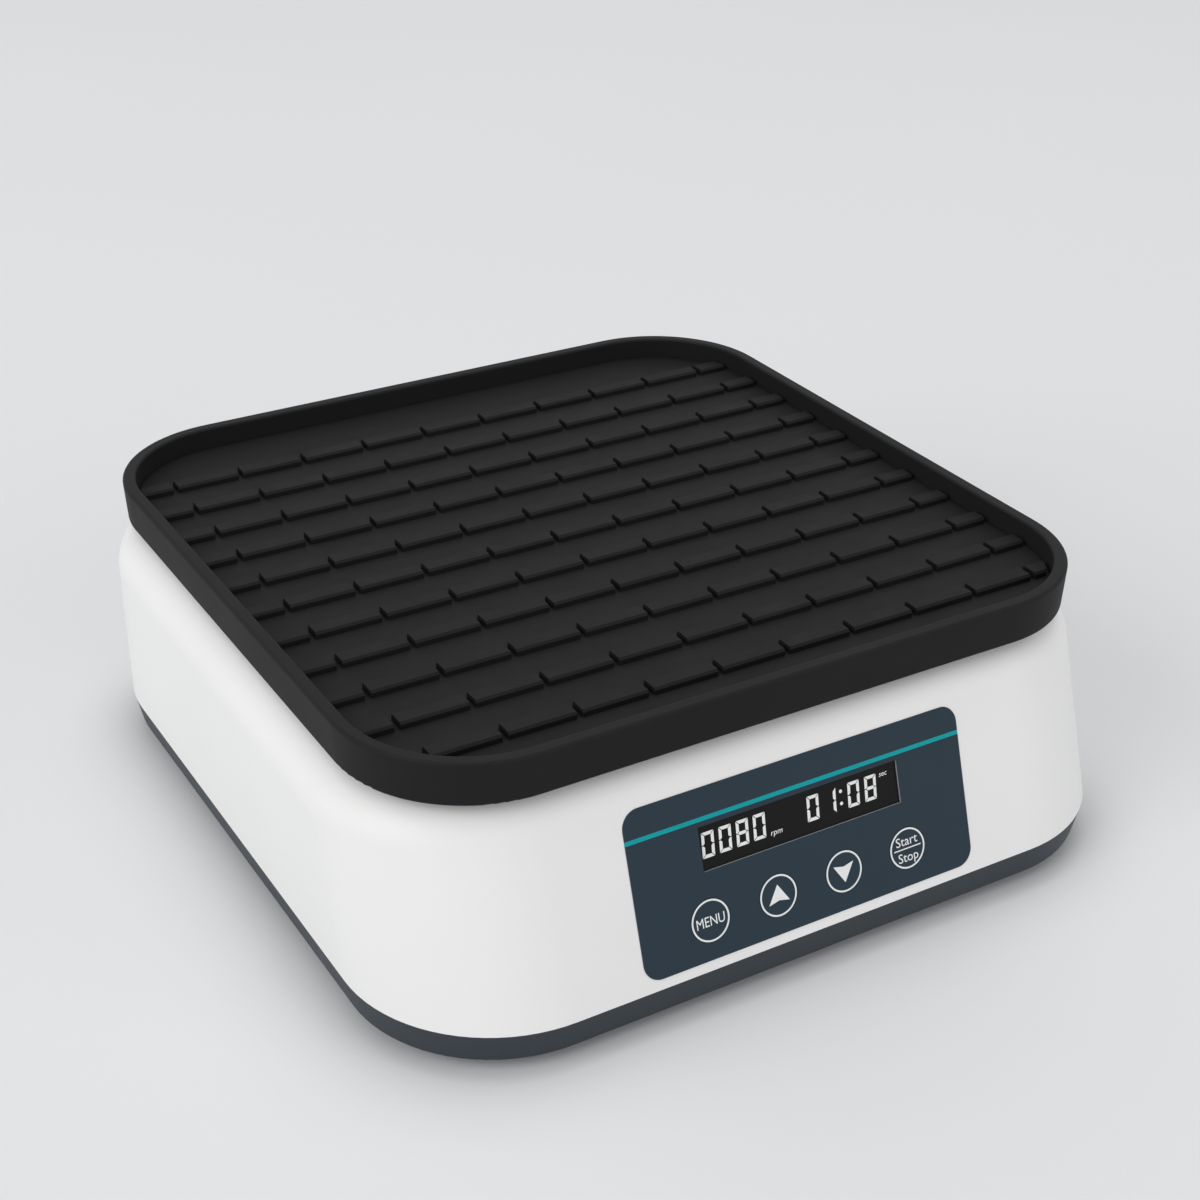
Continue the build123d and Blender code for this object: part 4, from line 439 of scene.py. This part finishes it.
# %% Overlay, keys and window
STRIPE_MIDDLE = 18.55
STRIPE_HALF = 0.74
STRIPE_TEAL = tone(0, 156, 162)
OVERLAY_FACE = 0.2
PRINT_DEPTH = 0.12
EDGE_HALF = 0.5
# Pale colour of the painted highlight on the film's cut edges.
EDGE_HIGHLIGHT_PALE = tone(150, 156, 160)

overlay_film = new_finish("overlay_film", tone(40, 55, 66), roughness=0.5, specular=0.15)
film_ramp = add_tone_change(overlay_film, size=30, darker=0.97)
add_roughness_change(overlay_film, size=20, low=0.44, high=0.56)
add_grain(overlay_film, size=0.35, strength=0.12, depth=0.02)
film_axes = panel_axes(overlay_film)
stripe = compare(overlay_film, film_axes, "Y", STRIPE_MIDDLE, STRIPE_HALF)
striped = paint_where(overlay_film, stripe, film_ramp.outputs["Color"], STRIPE_TEAL)
# The cut edges below the printed face get a pale painted highlight, for light caught by the step.
edge_middle = OVERLAY_FACE - PRINT_DEPTH - EDGE_HALF
edge = compare(overlay_film, film_axes, "Z", edge_middle, EDGE_HALF)
paint_where(overlay_film, edge, striped, EDGE_HIGHLIGHT_PALE)
dress(overlay_film, "control_overlay")

key_film = new_finish("key_film", tone(40, 55, 66), roughness=0.5, specular=0.15)
add_tone_change(key_film, size=30, darker=0.97)
add_roughness_change(key_film, size=20, low=0.44, high=0.56)
add_grain(key_film, size=0.35, strength=0.12, depth=0.02)
dress(key_film, "key_menu", "key_up", "key_down", "key_start_stop")

window_dark = new_finish("window_dark", tone(20, 20, 21), roughness=0.35, specular=0.1)
add_tone_change(window_dark, size=30, darker=0.9)
add_roughness_change(window_dark, size=20, low=0.28, high=0.4)
add_grain(window_dark, size=0.4, strength=0.08, depth=0.01)
dress(window_dark, "display_window", "lcd_module")

# %% [markdown]
# ## Printed marks and digits
#
# Ink has almost no thickness, but a real thin slab shows up in every viewer, so
# each mark is a closed slab a few hundredths of a millimetre high. A mark is a set
# of flat outlines in u and v. The slab's top is the outline itself, its bottom is
# the same outline lower down, and a wall joins them.


# %% Placing a piece on its body
def place_piece(name, mesh, finish, body):
    """An object at the origin, with its finish and slot, that rides on a body."""
    mesh.materials.append(finish)
    piece = bpy.data.objects.new(name, mesh)
    bpy.context.collection.objects.link(piece)
    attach(piece, body)
    print(name, "on", body, "with", len(mesh.polygons), "faces")


def add_piece(name, points, faces, finish, body):
    """A mesh object from points in metres and lists of corners."""
    mesh = bpy.data.meshes.new(name)
    mesh.from_pydata(points.tolist(), [], faces)
    mesh.update()
    place_piece(name, mesh, finish, body)


# %% Slabs from outlines
def slab_parts(outlines, low, high):
    """Points and faces of one closed slab for each outline, which runs anticlockwise.

    Top corners are (u, v, high) and bottom corners (u, v, low). Corner i of the wall
    joins bottom i, bottom i + 1, top i + 1 and top i.
    """
    points, faces, start = [], [], 0
    for outline in outlines:
        u, v = np.asarray(outline, float).T
        count = len(u)
        points += [on_panel(u, v, low), on_panel(u, v, high)]
        lower = start + np.arange(count)
        upper = lower + count
        faces += [tuple(upper.tolist()), tuple(lower[::-1].tolist())]
        walls = np.stack([lower, np.roll(lower, -1), np.roll(upper, -1), upper], axis=1)
        faces += [tuple(wall) for wall in walls.tolist()]
        start += 2 * count
    return np.concatenate(points), faces


def add_slab(name, outlines, low, high, finish, body):
    """One piece made of closed slabs."""
    points, faces = slab_parts(outlines, low, high)
    add_piece(name, points, faces, finish, body)


# %% [markdown]
# The ring round each key is a line of constant width. It could be a curve with a
# bevel, but a small rectangle carried round a circle gives the same closed body,
# with corners exactly where the formula puts them.


# %% Rings
def ring_parts(centre, radius, width, low, high, steps=96):
    """A flat ring: a rectangle carried round a circle.

    Corner k of the rectangle stands at angle a at
    (centre + (radius + offset k) * (cos a, sin a), height k).
    """
    angle = np.linspace(0, 2 * math.pi, steps, endpoint=False)
    offset = np.array([-0.5, 0.5, 0.5, -0.5]) * width
    height = np.array([low, low, high, high])
    reach = radius + offset[None, :]
    u = centre[0] + reach * np.cos(angle)[:, None]
    v = centre[1] + reach * np.sin(angle)[:, None]
    points = on_panel(u, v, np.broadcast_to(height, u.shape)).reshape(-1, 3)
    here = np.arange(steps * len(offset)).reshape(steps, len(offset))
    ahead = np.roll(here, -1, axis=0)
    corners = [here, ahead, np.roll(ahead, -1, axis=1), np.roll(here, -1, axis=1)]
    faces = np.stack(corners, axis=-1).reshape(-1, len(corners))
    return points, [tuple(face) for face in faces.tolist()]


# %% Ink
white_ink = new_finish("white_ink", tone(236, 238, 238), roughness=0.5, specular=0.3)
add_tone_change(white_ink, size=2, darker=0.96)
add_roughness_change(white_ink, size=1.5, low=0.44, high=0.56)
add_grain(white_ink, size=0.2, strength=0.1, depth=0.005)
print("finishes so far:", len(bpy.data.materials))

# %% [markdown]
# ## Letters
#
# The words are the plain function names that such keys carry. A text object gives
# the letters of a plain typeface. It becomes a mesh, and its points are then laid
# on the panel by the same u, v and w as everything else.


# %% Words as slabs
CAPITAL_SHARE = 0.729
LETTER_CURVE_STEPS = 3
HALF_EXTRUSION = 0.5


def letter_mesh(name, words):
    """The letters of a text object as a mesh, with one face at z > 0 and one at z < 0."""
    curve = bpy.data.curves.new(name, "FONT")
    curve.body = words
    curve.extrude = HALF_EXTRUSION
    curve.resolution_u = LETTER_CURVE_STEPS
    draft = bpy.data.objects.new(name + "_draft", curve)
    bpy.context.collection.objects.link(draft)
    bpy.context.view_layer.update()
    depsgraph = bpy.context.evaluated_depsgraph_get()
    mesh = bpy.data.meshes.new_from_object(draft.evaluated_get(depsgraph))
    bpy.data.objects.remove(draft)
    mesh.materials.clear()
    return mesh


def add_word(name, words, middle, height, body, levels, finish, stretch=1.0, slant=0.0):
    """Letters round a panel point, where height is a capital letter's in millimetres.

    A letter point (x, y) goes to u = (x * stretch + y * tan(slant)) * scale, less the
    middle of the word, and v = y * scale - height / 2. The levels are the heights of
    the slab's bottom and top.
    """
    mesh = letter_mesh(name, words)
    flat = np.empty(len(mesh.vertices) * 3)
    mesh.vertices.foreach_get("co", flat)
    x, y, z = flat.reshape(-1, 3).T
    scale = height / CAPITAL_SHARE
    across = x * scale * stretch
    across += (y * scale) * math.tan(math.radians(slant))
    across -= (across.min() + across.max()) / 2
    upward = y * scale - height / 2
    low, high = levels
    points = on_panel(middle[0] + across, middle[1] + upward, np.where(z > 0, high, low))
    mesh.vertices.foreach_set("co", points.astype(np.float32).ravel())
    mesh.update()
    place_piece(name, mesh, finish, body)


# %% [markdown]
# ## Rings, arrows and words
#
# Each mark rides on the body of its own key, so it travels with the key when the
# key is pressed. The four keys stand in one row at an even pitch, which gives all
# their middles from two numbers.

# %% Rings round the four keys
KEY_PITCH = 26.45
KEY_HEIGHT = -15.5
KEY_BODIES = ["menu_key", "up_key", "down_key", "start_stop_key"]
INK_SUNK = 0.02
INK_PROUD = 0.04
INK_LOW = OVERLAY_FACE - INK_SUNK
INK_HIGH = OVERLAY_FACE + INK_PROUD
RING_RADIUS = 6.85
RING_WIDTH = 0.6
row_middle = (len(KEY_BODIES) - 1) / 2
key_middles = [((i - row_middle) * KEY_PITCH, KEY_HEIGHT) for i in range(len(KEY_BODIES))]

for body, middle in zip(KEY_BODIES, key_middles):
    ring_points, ring_faces = ring_parts(middle, RING_RADIUS, RING_WIDTH, INK_LOW, INK_HIGH)
    add_piece(body + "_ring", ring_points, ring_faces, white_ink, body)

# %% Arrows
ARROW_HALF = 4.05
ARROW_TIP = 3.85
ARROW_FOOT = -2.6
ARROW_HOLLOW = 0.9


def arrow_outline(middle, way):
    """The tip, a foot, the hollow between the feet and the other foot, anticlockwise.

    A way of 1 points up the slope. A way of -1 turns the arrow half round.
    """
    u, v = middle
    tip = (u, v + way * ARROW_TIP)
    hollow = (u, v + way * (ARROW_FOOT + ARROW_HOLLOW))
    left = (u - way * ARROW_HALF, v + way * ARROW_FOOT)
    right = (u + way * ARROW_HALF, v + way * ARROW_FOOT)
    return [tip, left, hollow, right]


for name, body, middle, way in (
    ("up_arrow", "up_key", key_middles[1], 1),
    ("down_arrow", "down_key", key_middles[2], -1),
):
    outline = arrow_outline(middle, way)
    add_slab(name, [outline], INK_LOW, INK_HIGH, white_ink, body)

# %% Words and the line between Start and Stop
MENU_CAPITAL = 3.6
MENU_STRETCH = 0.82
START_CAPITAL = 3.4
WORD_LIFT = 2.9
LINE_HALF_LENGTH = 5.6
LINE_HALF_WIDTH = 0.2
ink_levels = (INK_LOW, INK_HIGH)
add_word(
    "menu_word", "MENU", key_middles[0], MENU_CAPITAL, "menu_key", ink_levels, white_ink,
    stretch=MENU_STRETCH,
)
start_u, start_v = key_middles[3]
for name, word, height in (
    ("start_word", "Start", start_v + WORD_LIFT),
    ("stop_word", "Stop", start_v - WORD_LIFT),
):
    middle = (start_u, height)
    add_word(name, word, middle, START_CAPITAL, "start_stop_key", ink_levels, white_ink)
line_corners = np.array([(-1, -1), (1, -1), (1, 1), (-1, 1)])
divider = line_corners * (LINE_HALF_LENGTH, LINE_HALF_WIDTH) + (start_u, start_v)
add_slab("start_stop_line", [divider], INK_LOW, INK_HIGH, white_ink, "start_stop_key")

# %% [markdown]
# ## The display's digits
#
# A digit is seven bars, each a flat outline with mitred ends, and the whole digit
# leans a little. The outlines are written once, in the box of one digit, and then
# slanted and moved. Mirroring gives four of the bars from two others, and turning
# the order of the corners round keeps the outlines anticlockwise.

# %% The seven bars
DIGIT_HEIGHT = 8.65
DIGIT_WIDTH = 4.7
DIGIT_SLANT = 4.0
BAR_THICK = 1.1
BAR_GAP = 0.16
LIT_BARS = {
    "0": "abcdef",
    "1": "bc",
    "8": "abcdefg",
}
DIGIT_BASE = 4.95
WINDOW_FACE = -0.6
DIGIT_LOW = WINDOW_FACE - INK_SUNK
DIGIT_HIGH = WINDOW_FACE + INK_PROUD


def bar_outlines():
    """The seven bars of a digit in its own box, as outlines that run anticlockwise.

    An upright or level bar is a strip along the digit's edge whose ends are cut at 45 degrees.
    The middle bar is a strip with both ends pointed.
    """
    wide, tall, thick, gap = DIGIT_WIDTH, DIGIT_HEIGHT, BAR_THICK, BAR_GAP
    half, mitre = tall / 2, thick / 2
    inner_left, inner_right = thick + gap, wide - thick - gap
    top = [(gap, tall), (inner_left, tall - thick), (inner_right, tall - thick), (wide - gap, tall)]
    upper_right = [
        (wide, half + gap),
        (wide, tall - gap),
        (wide - thick, tall - thick - gap),
        (wide - thick, half + mitre + gap),
        (wide - mitre, half + gap),
    ]
    middle = [
        (mitre + gap, half),
        (inner_left, half - mitre),
        (inner_right, half - mitre),
        (wide - mitre - gap, half),
        (inner_right, half + mitre),
        (inner_left, half + mitre),
    ]

    def flip_up(outline):
        return [(u, tall - v) for u, v in outline[::-1]]

    def flip_across(outline):
        return [(wide - u, v) for u, v in outline[::-1]]

    return {
        "a": top,
        "b": upper_right,
        "c": flip_up(upper_right),
        "d": flip_up(top),
        "e": flip_up(flip_across(upper_right)),
        "f": flip_across(upper_right),
        "g": middle,
    }


def digit_bars(digit, left):
    """Outlines of one digit's lit bars: u becomes left + u + v * tan(slant), v becomes base + v."""
    bars = bar_outlines()
    slant = math.tan(math.radians(DIGIT_SLANT))
    return [
        [(left + u + v * slant, DIGIT_BASE + v) for u, v in bars[bar]] for bar in LIT_BARS[digit]
    ]


print("bars lit in an eight:", len(digit_bars("8", 0)))

# %% [markdown]
# The left group is the speed in turns a minute, and the right group is the time
# that is left. All their bars and the two dots of the colon become one slab piece,
# because they are one display.

# %% Speed, time and the colon
SPEED_DIGITS = "0080"
SPEED_LEFT = -38.75
SPEED_PITCH = 6.6
HOUR_DIGITS = "01"
MINUTE_DIGITS = "08"
TIME_LEFT = 2.3
TIME_PITCH = 6.95
COLON_GAP = 2.6
DOT_RADIUS = 0.62
DOT_CORNERS = 16
DOT_MIDDLES = ((16.45, 11.6), (16.25, 7.4))
minutes_left = TIME_LEFT + len(HOUR_DIGITS) * TIME_PITCH + COLON_GAP

digit_outlines = []
for digits, first_left, pitch in (
    (SPEED_DIGITS, SPEED_LEFT, SPEED_PITCH),
    (HOUR_DIGITS, TIME_LEFT, TIME_PITCH),
    (MINUTE_DIGITS, minutes_left, TIME_PITCH),
):
    for place, digit in enumerate(digits):
        digit_outlines += digit_bars(digit, first_left + place * pitch)

dot_angle = np.linspace(0, 2 * math.pi, DOT_CORNERS, endpoint=False)
dot_outline = DOT_RADIUS * np.stack([np.cos(dot_angle), np.sin(dot_angle)], axis=1)
digit_outlines += [dot_outline + middle for middle in DOT_MIDDLES]
print("outlines on the display:", len(digit_outlines))

# %% The lit digits and their units
SPEED_UNIT_MIDDLE = (-10.1, 5.8)
SPEED_UNIT_CAPITAL = 2.0
SPEED_UNIT_STRETCH = 1.05
TIME_UNIT_MIDDLE = (34.0, 12.9)
TIME_UNIT_CAPITAL = 1.85
UNIT_SLANT = 12

lit_digit = new_finish("lit_digit", tone(236, 238, 236), roughness=0.5, specular=0.2)
add_tone_change(lit_digit, size=4, darker=0.97)
add_roughness_change(lit_digit, size=3, low=0.44, high=0.56)
add_grain(lit_digit, size=0.3, strength=0.08, depth=0.005)
add_slab("display_digits", digit_outlines, DIGIT_LOW, DIGIT_HIGH, lit_digit, "base")
digit_levels = (DIGIT_LOW, DIGIT_HIGH)
add_word(
    "speed_unit", "rpm", SPEED_UNIT_MIDDLE, SPEED_UNIT_CAPITAL,
    "base", digit_levels, lit_digit,
    stretch=SPEED_UNIT_STRETCH, slant=UNIT_SLANT,
)
add_word(
    "time_unit", "sec", TIME_UNIT_MIDDLE, TIME_UNIT_CAPITAL,
    "base", digit_levels, lit_digit,
    slant=UNIT_SLANT,
)

# %% [markdown]
# ## Floor and light
#
# A studio for a white machine is mostly a bright even room. The world gives that
# light, and three broad lamps on the left, above and in front lift the sides that
# face them. They stand well back, so that the floor is lit evenly, and the pale
# floor keeps the machine's shadow. The background is pale to the camera, to
# glossy surfaces and through clear ones, without more light on the machine.

# %% Floor
FLOOR_REACH = 3.5
floor_corners = FLOOR_REACH * np.array([(-1, -1, 0), (1, -1, 0), (1, 1, 0), (-1, 1, 0)])
floor_mesh = bpy.data.meshes.new("floor")
floor_mesh.from_pydata(floor_corners.tolist(), [], [(0, 1, 2, 3)])
floor = bpy.data.objects.new("floor", floor_mesh)
bpy.context.collection.objects.link(floor)
floor_finish = new_finish("floor_pale", tone(226, 227, 229), roughness=0.8, specular=0.1)
add_tone_change(floor_finish, size=400, darker=0.99)
add_roughness_change(floor_finish, size=120, low=0.76, high=0.86)
add_grain(floor_finish, size=1.5, strength=0.05, depth=0.02)
floor_mesh.materials.append(floor_finish)
print("floor reaches", FLOOR_REACH, "m each way")

# %% [markdown]
# ## The room
#
# The world has two backgrounds. One lights the machine, and the other is what the
# camera, glossy reflections and rays through clear pieces see. Light Path tells
# them apart.

# %% World
WORLD_LIGHT = 0.7
BACKDROP_PALE = tone(238, 239, 240)
world = bpy.data.worlds.new("studio")
world.use_nodes = True
bpy.context.scene.world = world
nodes, links = world.node_tree.nodes, world.node_tree.links
nodes.clear()
room = nodes.new("ShaderNodeBackground")
room.inputs["Strength"].default_value = WORLD_LIGHT
backdrop = nodes.new("ShaderNodeBackground")
backdrop.inputs["Color"].default_value = BACKDROP_PALE
backdrop.inputs["Strength"].default_value = 1.0
path = nodes.new("ShaderNodeLightPath")
seen = nodes.new("ShaderNodeMath")
seen.operation = "MAXIMUM"
seen_through = nodes.new("ShaderNodeMath")
seen_through.operation = "MAXIMUM"
mixer = nodes.new("ShaderNodeMixShader")
output = nodes.new("ShaderNodeOutputWorld")
links.new(path.outputs["Is Camera Ray"], seen.inputs[0])
links.new(path.outputs["Is Glossy Ray"], seen.inputs[1])
links.new(seen.outputs[0], seen_through.inputs[0])
links.new(path.outputs["Is Transmission Ray"], seen_through.inputs[1])
links.new(seen_through.outputs[0], mixer.inputs[0])
links.new(room.outputs[0], mixer.inputs[1])
links.new(backdrop.outputs[0], mixer.inputs[2])
links.new(mixer.outputs[0], output.inputs["Surface"])
print("world light:", WORLD_LIGHT)

# %% [markdown]
# A lamp shines along its own -Z. Tilting it by the angle from straight down, and
# then turning it to the heading of the target, aims it without a constraint.


# %% Lamps
def add_lamp(name, place, aim, size, power):
    """A square area lamp of size metres and power watts, at a place in metres, facing a point."""
    lamp = bpy.data.lights.new(name, "AREA")
    lamp.size = size
    lamp.energy = power
    holder = bpy.data.objects.new(name, lamp)
    holder.location = place
    along_x, along_y, along_z = np.subtract(aim, place)
    tilt = math.atan2(math.hypot(along_x, along_y), -along_z)
    heading = math.atan2(along_y, along_x) - math.pi / 2
    holder.rotation_euler = (tilt, 0, heading)
    holder.visible_camera = False
    bpy.context.collection.objects.link(holder)
    print("lamp:", name, size, "m", power, "W")


add_lamp("left_softbox", place=(-4.25, -0.75, 2.5), aim=(0, 0, 0.05), size=3.5, power=100)
add_lamp("top_softbox", place=(0.5, 0.75, 5.0), aim=(0, 0, 0.1), size=3.0, power=62)
add_lamp("front_softbox", place=(2.75, -4.25, 1.75), aim=(0, -0.1, 0.05), size=3.5, power=44)
